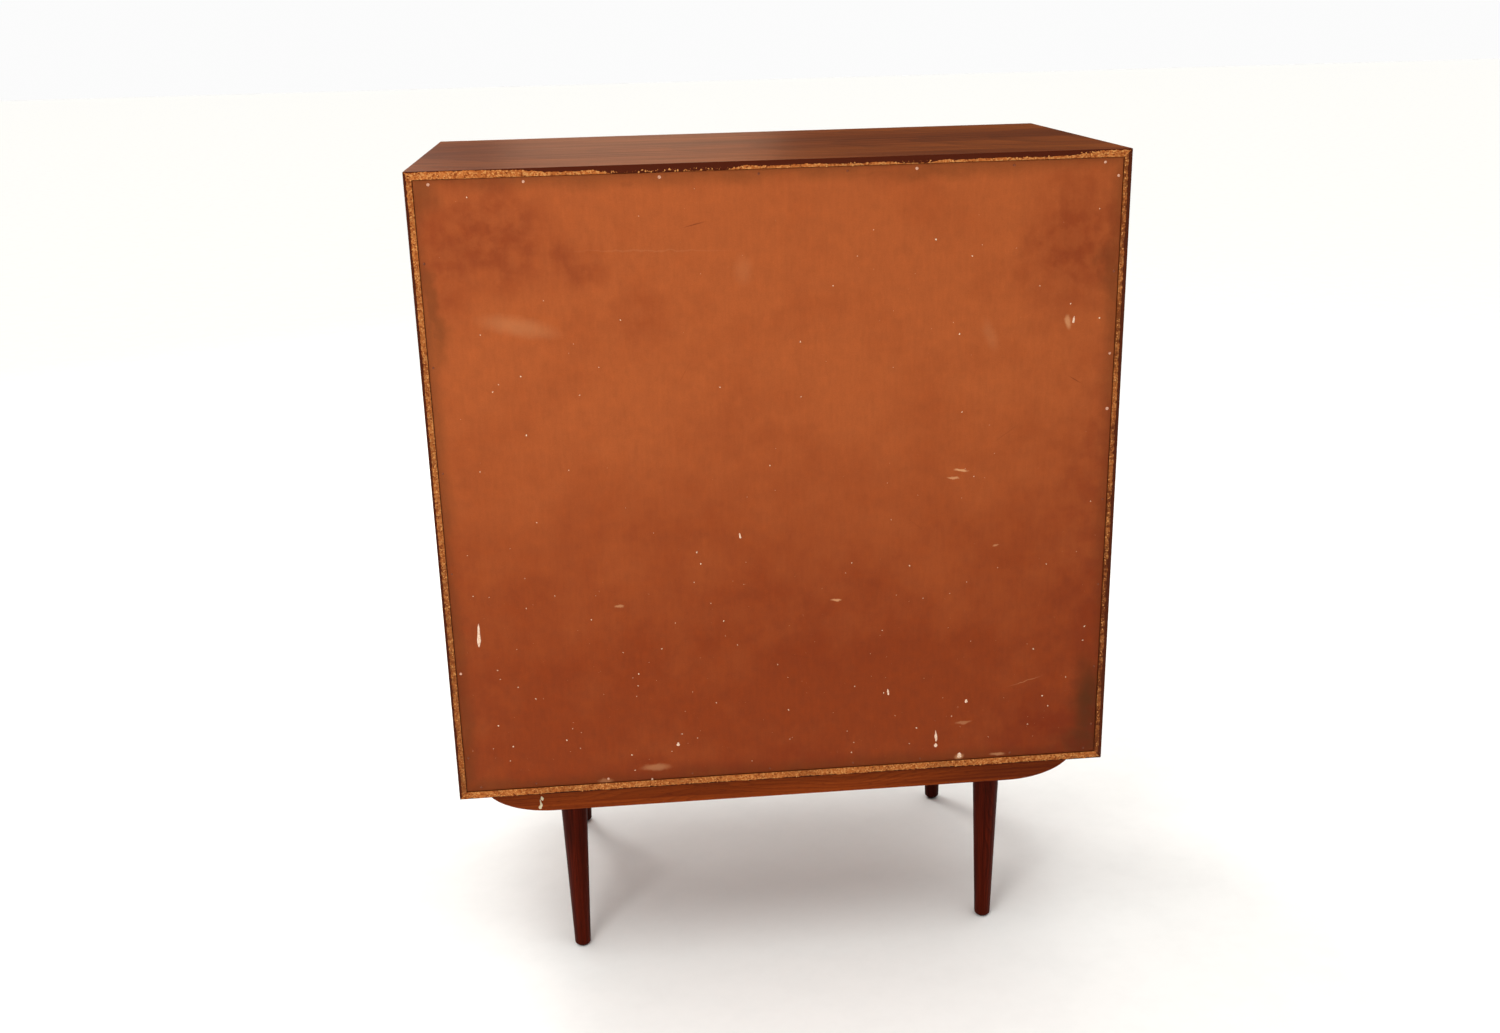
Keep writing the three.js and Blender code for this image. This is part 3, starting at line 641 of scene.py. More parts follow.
@dataclass(frozen=True)
class StainedHardboard(Finish):
    """Pressed hardboard, stained by hand: red-brown, with a fine fibre mottle, cloudy patches, grime, painted
    shade along its edges and a tone darker lower down that is partly painted shade.
    """

    name: str = "stained_hardboard"
    bump: float = 0.25
    relief: float = 0.2
    specular: float = 0.12
    # the board is darker towards the bottom: partly its own tone, partly painted shade where the light falls
    # off lower down
    upper: str = "#a55327"
    lower: str = "#863712"
    # grime's colour, also used for the painted shade along the edges
    grime: str = "#40280c"
    soak: str = "#702409"
    scratch: str = "#5a200e"
    smear: str = "#d9a070"
    half_width: float = 0.44
    low: float = 0.2875
    high: float = 1.1105

    def blot(self, tree: Tree, place: Source, mark: Mark) -> Source:
        """Draws one soft mark.

        Args:
            tree: The material's tree.
            place: The panel's coordinates, with their edges already made uneven.
            mark: The mark.

        Returns:
            How much of the mark shows, from 0 to its strength.
        """
        add = functools.partial(add_node, tree)
        local = add(
            "Mapping",
            {
                "Vector": place,
                "Location": (mark.x * MM, 0, mark.z * MM),
                "Rotation": (0, math.radians(-mark.tilt), 0),
                "Scale": (mark.wide * MM, 1000.0, mark.tall * MM),
            },
            vector_type="TEXTURE",
        )
        away = add("VectorMath", (local,), operation="LENGTH")
        return add("MapRange", (away, mark.hard, 1.0, mark.strength, 0.0), **SMOOTH)

    def gathered(self, tree: Tree, place: Source, marks: Iterable[Mark]) -> Source:
        """Adds several marks together.

        Args:
            tree: The material's tree.
            place: The panel's coordinates.
            marks: The marks.

        Returns:
            How much shows of all of them.
        """
        total = None
        for mark in marks:
            shown = self.blot(tree, place, mark)
            if total is None:
                total = shown
            else:
                total = add_node(tree, "Math", (total, shown), operation="MAXIMUM")
        return total

    def surface(self, tree: Tree) -> Surface:
        """Draws the board.

        Args:
            tree: The material's tree.

        Returns:
            The colour, roughness and height of the board.
        """
        add = functools.partial(add_node, tree)
        coordinates = add("TexCoord").outputs
        place = coordinates["Object"]
        axes = add("SeparateXYZ", (place,)).outputs
        facing = add("SeparateXYZ", (coordinates["Normal"],)).outputs
        outside = add("Math", (facing[1], -0.5), operation="GREATER_THAN")
        clouds = {}
        for label, size, detail in (("fibre", 1.6, 3.0), ("mottle", 14, 5.0), ("patch", 120, 4.0)):
            clouds[label] = add(
                "TexNoise", {"Vector": place, "Scale": 1 / (size * MM), "Detail": detail, "Roughness": 0.6}
            )
        uneven = add("VectorMath", (clouds["mottle"].outputs[1], (0.5, 0.5, 0.5)), operation="SUBTRACT")
        warped = add("VectorMath", (uneven, (9 * MM, 0, 9 * MM), place), operation="MULTIPLY_ADD")
        broad = add(
            "VectorMath",
            (clouds["patch"].outputs[1], (90 * MM, 0, 90 * MM), warped),
            operation="MULTIPLY_ADD",
        )
        recentred = add("VectorMath", (broad, (45 * MM, 0, 45 * MM)), operation="SUBTRACT")

        # darker towards the bottom: partly painted shade
        rise = add("MapRange", (axes[2], 0.36, 0.92, 0.0, 1.0), **SMOOTH)
        cloudy = add("Math", (clouds["patch"], 1.3, rise), operation="MULTIPLY_ADD")
        level = add("Math", (cloudy, 0.65), operation="SUBTRACT", use_clamp=True)
        base = add("Mix", {0: level, 6: linear(self.lower), 7: linear(self.upper)}, data_type="RGBA")
        speckle = add("Mix", {0: 0.5, 2: clouds["fibre"], 3: clouds["mottle"]}, data_type="FLOAT")
        flat = add("CombineXYZ", {0: axes[0], 2: axes[2]})
        streaks = stretched(tree, flat, 5, 26, 3)
        drawn = add("Mix", {0: 0.25, 2: speckle, 3: streaks}, data_type="FLOAT")
        shade = add("MapRange", (drawn, 0.35, 0.65, 0.87, 1.13))
        mottled = add("VectorMath", {0: base, "Scale": shade}, operation="SCALE")

        # painted shade along the panel's edges, where it lies sunk below the case's rim
        side = add("Math", (axes[0],), operation="ABSOLUTE")
        gaps = [
            add("Math", (self.half_width, side), operation="SUBTRACT"),
            add("Math", (axes[2], self.low), operation="SUBTRACT"),
            add("Math", (self.high, axes[2]), operation="SUBTRACT"),
        ]
        nearest = gaps[0]
        for gap in gaps[1:]:
            nearest = add("Math", (nearest, gap), operation="MINIMUM")
        wavy = add("Math", (clouds["patch"], -40 * MM, nearest), operation="MULTIPLY_ADD")
        rim = add("MapRange", (wavy, -20 * MM, 2 * MM, 0.35, 0.0), **SMOOTH)
        patches = add(
            "TexNoise", {"Vector": warped, "Scale": 1 / (27 * MM), "Detail": 4.0, "Roughness": 0.55}
        )
        patchy = add("MapRange", (patches, 0.36, 0.64, 0.42, 1.0), **SMOOTH)
        # the painted edge shade joins the dark marks near the edges, which are grime and painted shade
        dirt = add("Math", (rim, self.gathered(tree, recentred, EDGE_GRIME_AND_SHADE)), operation="MAXIMUM")
        soak = add("Math", (self.gathered(tree, recentred, STAINS), patchy), operation="MULTIPLY")
        scratches = self.gathered(tree, place, SCRATCHES)
        smears = self.gathered(tree, warped, SMEARS)
        marked = mottled
        layers = ((dirt, self.grime), (soak, self.soak), (scratches, self.scratch), (smears, self.smear))
        for amount, tone in layers:
            marked = add("Mix", {0: amount, 6: marked, 7: linear(tone)}, data_type="RGBA")
        rough = add("MapRange", (clouds["mottle"], 0.3, 0.7, 0.58, 0.72))
        screen = [add("Math", (axes[axis], 1.1 * MM), operation="PINGPONG") for axis in (0, 2)]
        knots = add("Math", (screen[0], screen[1]), operation="MULTIPLY")
        weave = add("MapRange", (knots, 0.0, 1.1e-6, 0.3, 1.0))
        pressed = add("VectorMath", {0: mottled, "Scale": weave}, operation="SCALE")
        colour = add("Mix", {0: outside, 6: pressed, 7: marked}, data_type="RGBA")
        height = add("Mix", {0: outside, 2: weave, 3: speckle}, data_type="FLOAT")
        return Surface(colour, rough, height)


# ---- Small materials ---------------------------------------------------------------------------


@dataclass(frozen=True)
class Speckled(Finish):
    """A plain material whose tone and gloss wander a little, as on any used small part."""

    dark: str = "#202020"
    light: str = "#404040"
    grit: float = 1.5  # size of the specks in millimetres
    roughness: float = 0.4
    spread: float = 0.12

    def surface(self, tree: Tree) -> Surface:
        """Draws the specks.

        Args:
            tree: The material's tree.

        Returns:
            The colour, roughness and height of the surface.
        """
        add = functools.partial(add_node, tree)
        place = add("TexCoord").outputs["Object"]
        cloud = add(
            "TexNoise", {"Vector": place, "Scale": 1 / (self.grit * MM), "Detail": 4.0, "Roughness": 0.65}
        )
        colour = add("ValToRGB", (cloud,), stops=((0.36, linear(self.dark)), (0.64, linear(self.light))))
        rough = add(
            "MapRange", (cloud, 0.35, 0.65, self.roughness + self.spread, self.roughness - self.spread)
        )
        return Surface(colour, rough, cloud)


METAL = {"bump": 0.08, "relief": 0.05, "metallic": 1.0, "specular": 0.5}
HEAD = {"bump": 0.3, "relief": 0.1, "roughness": 0.5}
RUN = {"bump": 0.25, "relief": 0.1, "roughness": 0.42}

# Stamped brass, dulled by age: soft gold with brownish breath marks.
DULLED_BRASS = Speckled(
    "stamped_brass_dulled", dark="#8a6a34", light="#c9a35a", grit=2.5, roughness=0.34, **METAL
)
# Zinc-plated steel: cool grey with a faint cloud in its shine.
ZINC_PLATE = Speckled(
    "zinc_plated_steel", dark="#8b8c8c", light="#b9bab8", grit=2.0, roughness=0.36, **METAL
)
# Pressed ferrite, as in a catch's magnet: near-black and dull.
FERRITE = Speckled("pressed_ferrite", 0.1, 0.05, dark="#1c1b1c", light="#2d2c2d", roughness=0.55)
# Moulded nylon: dark brown with an even, slightly waxy gloss.
MOULDED_NYLON = Speckled("moulded_nylon", 0.05, 0.05, dark="#2b211b", light="#3c2f27", roughness=0.45)
# Pins touched by the brush: dusty pink heads. Pins stained with the board: heads a shade darker than it.
PAINTED_NAIL = Speckled("painted_nail_head", dark="#b98065", light="#e6bba2", **HEAD)
STAINED_NAIL = Speckled("stained_nail_head", dark="#5a2712", light="#8a4522", **HEAD)
# Dried runs of gloss paint, cream on the panel and yellower on the rail, with a skin that catches light.
DRIED_PAINT = Speckled("dried_paint_drip", dark="#d8a583", light="#f6e2cc", **RUN)
YELLOWED_PAINT = Speckled("yellowed_paint_drip", dark="#c9b487", light="#efe6c4", **RUN)
# A matt painted floor, pale and a touch cool, so that warm light leaves it neutral.
PALE_FLOOR = Speckled("pale_matt_floor", 0.02, 0.2, dark="#f2f7fc", light="#f5faff", grit=60, roughness=0.8)


@dataclass(frozen=True)
class LooseCrumbs(Finish):
    """Sawn chipboard crumbs: each takes its own tone, from burnt orange to straw."""

    name: str = "chipboard_crumbs"
    tones: tuple[str, ...] = ("#713616", "#a65a29", "#bb6f36", "#d09050")
    bump: float = 0.2
    specular: float = 0.15

    def surface(self, tree: Tree) -> Surface:
        """Draws a crumb.

        Args:
            tree: The material's tree.

        Returns:
            The colour, roughness and height of the crumbs.
        """
        add = functools.partial(add_node, tree)
        place = add("TexCoord").outputs["Object"]
        tint = add("Attribute", attribute_name="tint", attribute_type="GEOMETRY")
        last = len(self.tones) - 1
        stops = tuple((i / last, linear(tone)) for i, tone in enumerate(self.tones))
        colour = add("ValToRGB", (tint.outputs["Fac"],), stops=stops)
        grit = add("TexNoise", {"Vector": place, "Scale": 1800.0, "Detail": 2.0})
        rough = add("MapRange", (grit, 0.3, 0.7, 0.7, 0.9))
        return Surface(colour, rough, grit)


# ---- Things that repeat ------------------------------------------------------------------------


@dataclass
class Recipe:
    """A geometry tree with named inputs. It is run once on a mesh and leaves a plain mesh behind."""

    name: str
    inputs: dict[str, str]  # the kind of each input, by its name
    tree: Tree = field(init=False)
    sockets: dict[str, str] = field(init=False, default_factory=dict)

    def __post_init__(self) -> None:
        """Starts the tree with its geometry going in and out, and its named inputs."""
        self.tree = bpy.data.node_groups.new(self.name, "GeometryNodeTree")
        face = self.tree.interface
        face.new_socket(name="Base", in_out="INPUT", socket_type="NodeSocketGeometry")
        face.new_socket(name="Result", in_out="OUTPUT", socket_type="NodeSocketGeometry")
        for label, kind in self.inputs.items():
            socket = face.new_socket(name=label, in_out="INPUT", socket_type=f"NodeSocket{kind}")
            self.sockets[label] = socket.identifier

    def end(self, instances: Source, material: Source) -> None:
        """Realizes the copies, gives them their material and sends them out.

        Args:
            instances: The copies.
            material: The material's socket.
        """
        real = add_node(self.tree, "GeometryNodeRealizeInstances", (instances,))
        dressed = add_node(self.tree, "GeometryNodeSetMaterial", {"Geometry": real, "Material": material})
        add_node(self.tree, "NodeGroupOutput", (dressed,))

    def run(self, name: str, base: bpy.types.Mesh, **values: object) -> Piece:
        """Runs the tree on a mesh.

        Args:
            name: The name of the piece that comes out.
            base: The mesh that goes in.
            values: The inputs, by name with spaces as underscores.

        Returns:
            The piece, with a plain mesh and no modifier.
        """
        piece = new_piece(name, base)
        modifier = piece.modifiers.new(self.name, "NODES")
        modifier.node_group = self.tree
        for label, value in values.items():
            modifier[self.sockets[label.replace("_", " ")]] = value
        graph = bpy.context.evaluated_depsgraph_get()
        result = bpy.data.meshes.new_from_object(piece.evaluated_get(graph))
        piece.modifiers.clear()
        piece.data = result
        result.name = name
        return piece


def crumb_recipe() -> Recipe:
    """Makes the tree that strews small flattened lumps over a surface.

    Returns:
        The recipe, with inputs for how many, how large, how flat, the seed and the material.
    """
    sizes = dict.fromkeys(("Per square metre", "Smallest", "Largest", "Flatness"), "Float")
    recipe = Recipe("strewn_crumbs", sizes | {"Seed": "Int", "Material": "Material"})
    add = functools.partial(add_node, recipe.tree)
    given = add("NodeGroupInput").outputs
    spots = add(
        "GeometryNodeDistributePointsOnFaces",
        {0: given["Base"], "Density": given["Per square metre"], "Seed": given["Seed"]},
    )
    lump = add("GeometryNodeMeshIcoSphere", {"Radius": 0.5, "Subdivisions": 1})
    spread = add("FunctionNodeRandomValue", {2: 0.0, 3: 1.0, "Seed": given["Seed"]})
    uneven = add(
        "FunctionNodeRandomValue",
        {0: (0.6, 0.6, 0.7), 1: (1.3, 1.3, 1.3), "Seed": given["Seed"]},
        data_type="FLOAT_VECTOR",
    )
    rare = add("Math", (spread, 2.5), operation="POWER")
    size = add("MapRange", (rare, 0.0, 1.0, given["Smallest"], given["Largest"]))
    thin = add("Math", (size, given["Flatness"]), operation="MULTIPLY")
    whole = add("CombineXYZ", (size, size, thin))
    scale = add("VectorMath", (whole, uneven), operation="MULTIPLY")
    spin = add(
        "FunctionNodeRandomValue",
        {0: (-0.35, -0.35, 0.0), 1: (0.35, 0.35, math.tau), "Seed": given["Seed"]},
        data_type="FLOAT_VECTOR",
    )
    turn = add("FunctionNodeRotateRotation", (spots.outputs["Rotation"], spin), rotation_space="LOCAL")
    copies = add(
        "GeometryNodeInstanceOnPoints",
        {"Points": spots.outputs["Points"], "Instance": lump, "Rotation": turn, "Scale": scale},
    )
    chance = add("FunctionNodeRandomValue", {2: 0.0, 3: 1.0, "Seed": given["Seed"]})
    tinted = add(
        "GeometryNodeStoreNamedAttribute",
        {"Geometry": copies, "Name": "tint", "Value": chance},
        data_type="FLOAT",
        domain="INSTANCE",
    )
    recipe.end(tinted, given["Material"])
    return recipe


def fastener_recipe() -> Recipe:
    """Makes the tree that sets a nail or screw head on each point, facing the way the point says.

    Returns:
        The recipe, with inputs for the head, the seed, how much sizes differ and the material.
    """
    inputs = {"Head": "Object", "Seed": "Int", "Spread": "Float", "Lean": "Float", "Material": "Material"}
    recipe = Recipe("fastener_heads", inputs)
    add = functools.partial(add_node, recipe.tree)
    given = add("NodeGroupInput").outputs
    head = add("GeometryNodeObjectInfo", (given["Head"], True))
    spots = add("GeometryNodeMeshToPoints", (given["Base"],))
    facing = add("GeometryNodeInputNamedAttribute", {"Name": "facing"}, data_type="FLOAT_VECTOR")
    upright = add("FunctionNodeAlignRotationToVector", {"Vector": facing}, axis="Z")
    lean = add("Math", (given["Lean"], -1.0), operation="MULTIPLY")
    least = add("CombineXYZ", (lean, lean, 0.0))
    most = add("CombineXYZ", (given["Lean"], given["Lean"], math.tau))
    spin = add(
        "FunctionNodeRandomValue", {0: least, 1: most, "Seed": given["Seed"]}, data_type="FLOAT_VECTOR"
    )
    turn = add("FunctionNodeRotateRotation", (upright, spin), rotation_space="LOCAL")
    less = add("Math", (1.0, given["Spread"]), operation="SUBTRACT")
    more = add("Math", (1.0, given["Spread"]), operation="ADD")
    size = add("FunctionNodeRandomValue", {2: less, 3: more, "Seed": given["Seed"]})
    copies = add(
        "GeometryNodeInstanceOnPoints",
        {"Points": spots, "Instance": head.outputs["Geometry"], "Rotation": turn, "Scale": size},
    )
    recipe.end(copies, given["Material"])
    return recipe


@dataclass(frozen=True)
class NailHead:
    """The domed head of a panel pin."""

    radius: float = 2.3 * MM
    dome: float = 0.7 * MM
    facets: int = 14

    def build(self) -> Piece:
        """Builds one head on the origin, looking up.

        Returns:
            The head, to be copied and then deleted.
        """
        shape = bmesh.new()
        rings = []
        for share, height in ((0.9, -0.5), (1.0, 0.0), (0.96, 0.35), (0.75, 0.75), (0.4, 0.96)):
            ring = []
            for i in range(self.facets):
                angle = math.tau * i / self.facets
                spot = (math.cos(angle) * share * self.radius, math.sin(angle) * share * self.radius)
                ring.append(shape.verts.new((*spot, height * self.dome)))
            rings.append(ring)
        for under, over in zip(rings, rings[1:]):
            for i in range(self.facets):
                j = (i + 1) % self.facets
                shape.faces.new((under[i], under[j], over[j], over[i]))
        shape.faces.new(list(reversed(rings[0])))
        shape.faces.new(rings[-1])
        return new_piece("nail_head_pattern", mesh_from(shape, "nail_head", 50))


@dataclass(frozen=True)
class ScrewHead:
    """The slotted head of a countersunk or raised wood screw."""

    radius: float = 2.6 * MM
    proud: float = 0.06 * MM
    sunk: float = 1.0 * MM
    slot_width: float = 0.8 * MM
    slot_depth: float = 0.7 * MM
    facets: int = 9

    def build(self) -> Piece:
        """Builds one head on the origin, looking up.

        Returns:
            The head, to be copied and then deleted.
        """
        shape = bmesh.new()
        half = self.slot_width / 2
        corner = math.acos(half / self.radius)
        for side in (0, 1):
            arc = [-corner + 2 * corner * i / self.facets + side * math.pi for i in range(self.facets + 1)]
            outline = [(math.cos(a) * self.radius, math.sin(a) * self.radius) for a in arc]
            add_prism(shape, outline, -self.sunk, self.proud)
        reach = self.radius * math.sin(corner)
        web = [(-half, -reach), (half, -reach), (half, reach), (-half, reach)]
        add_prism(shape, web, -self.sunk, self.proud - self.slot_depth)
        return new_piece("screw_head_pattern", mesh_from(shape, "screw_head", 30))


PULL_SCREW = ScrewHead(radius=4 * MM, proud=1.2 * MM, slot_width=1.1 * MM)
REAR = (0.0, 1.0, 0.0)
DOWN = (0.0, 0.0, -1.0)


def either_side(middle: float, reach: float) -> tuple[float, float]:
    """Gives the two places that lie a reach to either side of a middle."""
    return (middle - reach, middle + reach)


@dataclass(frozen=True)
class Spot:
    """Where a fastener sits, and which way it looks."""

    place: Place
    facing: Place


@dataclass
class Fasteners:
    """Nails and screws of the cabinet, one mesh for each body and kind."""

    recipe: Recipe = field(default_factory=fastener_recipe)
    seed: int = 11

    def fit(
        self,
        name: str,
        body: str,
        slot: str,
        head: NailHead | ScrewHead,
        spots: list[Spot],
        finish: Finish,
        spread: float = 0.02,
        lean: float = 0.0,
    ) -> Piece:
        """Sets a head on each spot.

        Args:
            name: The piece's name.
            body: The body that it rides on.
            slot: The record's material slot; not used.
            head: The kind of head.
            spots: Where the heads go.
            finish: Their finish.
            spread: How much their sizes differ.
            lean: How far they may lean, in radians.

        Returns:
            The piece.
        """
        base = bpy.data.meshes.new(name)
        base.from_pydata([spot.place for spot in spots], [], [])
        facing = base.attributes.new("facing", "FLOAT_VECTOR", "POINT")
        facing.data.foreach_set("vector", [value for spot in spots for value in spot.facing])
        pattern = head.build()
        self.seed += 1
        piece = self.recipe.run(
            name, base, Head=pattern, Seed=self.seed, Spread=spread, Lean=lean, Material=material_of(finish)
        )
        bpy.data.objects.remove(pattern)
        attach(piece, body)
        return piece


# ---- Sub-assemblies ----------------------------------------------------------------------------


@dataclass
class SubAssembly:
    """Pieces of the cabinet that belong together, and the way a carried-over node is dressed."""

    frame: dict
    made: list[str] = field(init=False, default_factory=list)

    def keep(self, piece: Piece, body: str, slot: str, *nodes: str) -> Piece:
        """Rides a piece on its body, hides the nodes that it stands for, and notes the piece.

        Args:
            piece: The piece, in place.
            body: The body that it rides on.
            slot: The record's material slot; not used.
            nodes: The nodes that it replaces.

        Returns:
            The piece.
        """
        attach(piece, body)
        if nodes:
            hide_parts(*nodes)
        self.made.append(piece.name)
        return piece

    def dress(
        self, node: str, finish: Finish, slot: str, ease: float = 0.5 * MM, fold: float = 30.0
    ) -> Piece:
        """Makes the finished piece for a node: same shape, edges eased, with its finish.

        Args:
            node: The node's name.
            finish: The finish.
            slot: The record's material slot.
            ease: The width of the eased edges. 0 leaves them sharp.
            fold: Edges that turn more than this many degrees are edges; others are shaded round.

        Returns:
            The piece.
        """
        carried = self.frame["nodes"][node]
        shape = bmesh.new()
        shape.from_mesh(carried.data)
        bmesh.ops.remove_doubles(shape, verts=shape.verts, dist=0.005 * MM)
        bmesh.ops.dissolve_limit(shape, angle_limit=math.radians(0.4), verts=shape.verts, edges=shape.edges)
        if ease:
            chamfer(shape, ease, fold)
        mesh = mesh_from(shape, f"{node}_finished", fold)
        piece = new_piece(f"{node}_finished", mesh, material_of(finish))
        return self.keep(piece, carried["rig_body"], slot, node)

    def fasten(self, name: str, *choices: object, **slack: float) -> None:
        """Sets nails or screws as Fasteners.fit does, and notes the new piece."""
        self.made.append(self.fasteners.fit(name, *choices, **slack).name)

    def report(self) -> None:
        """Logs every piece of the sub-assembly."""
        for name in self.made:
            LOG.info("%s: %s", type(self).__name__, name)


@dataclass
class Case(SubAssembly):
    """The four veneered boards, the shelf, the raw rim at the rear and its crumbs."""

    crumbs: Recipe = field(default_factory=crumb_recipe)
    half_width: float = 0.45
    rim: float = 9.5 * MM

    def build(self) -> None:
        """Dresses the boards and strews the rim."""
        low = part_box("case_bottom")[0]
        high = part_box("case_top")[1]
        self.rear = high.y
        self.low = low.z
        self.high = high.z
        upright = {"grain": Grain.Z_FACING_SIDE, "heart": 0.02, "climb": 0.05, "low_darkening": 0.34}
        boards = {
            "case_top": RawEdgedTeakVeneer(
                "teak_veneer_top",
                edge=Edge.TOP,
                edge_at=high.z,
                skin=1.4,
                tear=4.0,
                skin_colour="#4a1b0b",
                stained=((-0.40, 0.05, 5.2), (0.0, 0.31, 4.0), (0.03, 0.23, 9.0), (-0.22, -0.13, 8.0)),
                # painted shade: the top's veneer gets darker colours than the same veneer on the rest of the
                # case
                dark="#421e0b",
                middle="#693212",
                light="#88491c",
                heart=0.03,
                climb=0.05,
            ),
            "case_bottom": RawEdgedTeakVeneer(
                "teak_veneer_bottom", edge=Edge.BOTTOM, edge_at=low.z, skin=1.3, tear=3.2, grime=0.28
            ),
            "case_side_left": RawEdgedTeakVeneer(
                "teak_veneer_side_left",
                edge=Edge.LEFT,
                edge_at=low.x,
                skin=4.6,
                tear=3.0,
                skin_colour="#4d200e",
                grime=0.5,
                **upright,
            ),
            "case_side_right": RawEdgedTeakVeneer(
                "teak_veneer_side_right",
                edge=Edge.RIGHT,
                edge_at=high.x,
                skin=3.2,
                tear=2.8,
                skin_colour="#4a1d0c",
                grime=0.25,
                **upright,
            ),
        }
        for node, finish in boards.items():
            self.dress(node, finish, "teak_veneer", ease=0.35 * MM)
        self.dress("fixed_shelf", OiledTeakVeneer("teak_veneer_shelf"), "teak_veneer", ease=0.4 * MM)
        self.strew()

    def strew(self) -> None:
        """Lays loose crumbs along the raw rim, clear of its dark outer skin."""
        shape = bmesh.new()
        wide = self.half_width
        for x0, x1, z0, z1 in (
            (-wide + 6 * MM, wide - 5 * MM, self.low + 1.2 * MM, self.low + self.rim),
            (0.30, wide - 5 * MM, self.high - self.rim, self.high - 1.6 * MM),
            (-wide + 6 * MM, -0.38, self.high - self.rim, self.high - 1.6 * MM),
            (-0.38, 0.30, self.high - self.rim, self.high - self.rim + 3 * MM),
            (-wide + 6.2 * MM, -wide + self.rim, self.low + self.rim, self.high - self.rim),
            (wide - self.rim, wide - 4.2 * MM, self.low + self.rim, self.high - self.rim),
        ):
            corners = ((x1, z0), (x0, z0), (x0, z1), (x1, z1))
            shape.faces.new([shape.verts.new((x, self.rear, z)) for x, z in corners])
        piece = self.crumbs.run(
            "rim_crumbs",
            mesh_from(shape, "rim"),
            Per_square_metre=200000.0,
            Smallest=0.5 * MM,
            Largest=2.6 * MM,
            Flatness=0.4,
            Seed=5,
            Material=material_of(LooseCrumbs()),
        )
        self.keep(piece, "cabinet", "teak_veneer")


@dataclass
class BackPanel(SubAssembly):
    """The hardboard back with its pins, and the paint that was spilt on it."""

    crumbs: Recipe = field(default_factory=crumb_recipe)
    fasteners: Fasteners = field(default_factory=Fasteners)
    pin_inset: float = 5.5 * MM

    def build(self) -> None:
        """Dresses the panel, nails it and spatters it."""
        low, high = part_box("back_panel")
        self.low = low
        self.high = high
        self.dress("back_panel", StainedHardboard(), "hardboard", ease=0.3 * MM)
        self.nail()
        self.spatter()

    def nail(self) -> None:
        """Drives pins round the edge, at the uneven spacing of handwork."""
        left = self.low.x + self.pin_inset
        right = self.high.x - self.pin_inset
        top = self.high.z - self.pin_inset
        bottom = self.low.z + self.pin_inset
        bright = [(x * MM, top) for x in (421, 307, 142, -177, -416)]
        bright += [(left, z * MM) for z in (1088, 861, 787)]
        bright += [(right, 0.463), (0.246, bottom)]
        dull = [(x * MM, top) for x in (20, -90, -300)]
        dull += [(x * MM, bottom) for x in (420, 345, 130, 22, -95, -190, -318, -424)]
        dull += [(left, z * MM) for z in (968, 662, 540, 418, 330)]
        dull += [(right, z * MM) for z in (1010, 880, 742, 605, 338)]
        for name, finish, radius, places in (
            ("back_panel_pins_painted", PAINTED_NAIL, 1.9 * MM, bright),
            ("back_panel_pins_stained", STAINED_NAIL, 1.6 * MM, dull),
        ):
            spots = [Spot((x, self.high.y, z), REAR) for x, z in places]
            head = NailHead(radius=radius, dome=0.3 * radius)
            self.fasten(name, "cabinet", "steel", head, spots, finish, spread=0.12, lean=0.06)

    def spatter(self) -> None:
        """Flicks fine paint over the panel, most of it low down, and a few larger drops."""
        shape = bmesh.new()
        wide = self.high.x - 12 * MM
        bands = ((0.30, 0.42, 4), (0.42, 0.60, 3), (0.60, 1.09, 1))
        for z0, z1, count in bands:
            for _ in range(count):
                corners = ((wide, z0), (-wide, z0), (-wide, z1), (wide, z1))
                shape.faces.new([shape.verts.new((x, self.high.y, z)) for x, z in corners])
        fine = self.crumbs.run(
            "paint_specks",
            mesh_from(shape, "specks"),
            Per_square_metre=300.0,
            Smallest=0.5 * MM,
            Largest=2.6 * MM,
            Flatness=0.12,
            Seed=23,
            Material=material_of(
                LooseCrumbs("dried_paint_specks", tones=("#b9764a", "#c88f66", "#d8ae88", "#eddcc0"))
            ),
        )
        self.keep(fine, "cabinet", "hardboard")


@dataclass(frozen=True)
class Drip:
    """A run of dried paint: its head in millimetres, its length, its width and how far it leans."""

    x: float
    z: float
    length: float
    width: float
    lean: float = 0.0


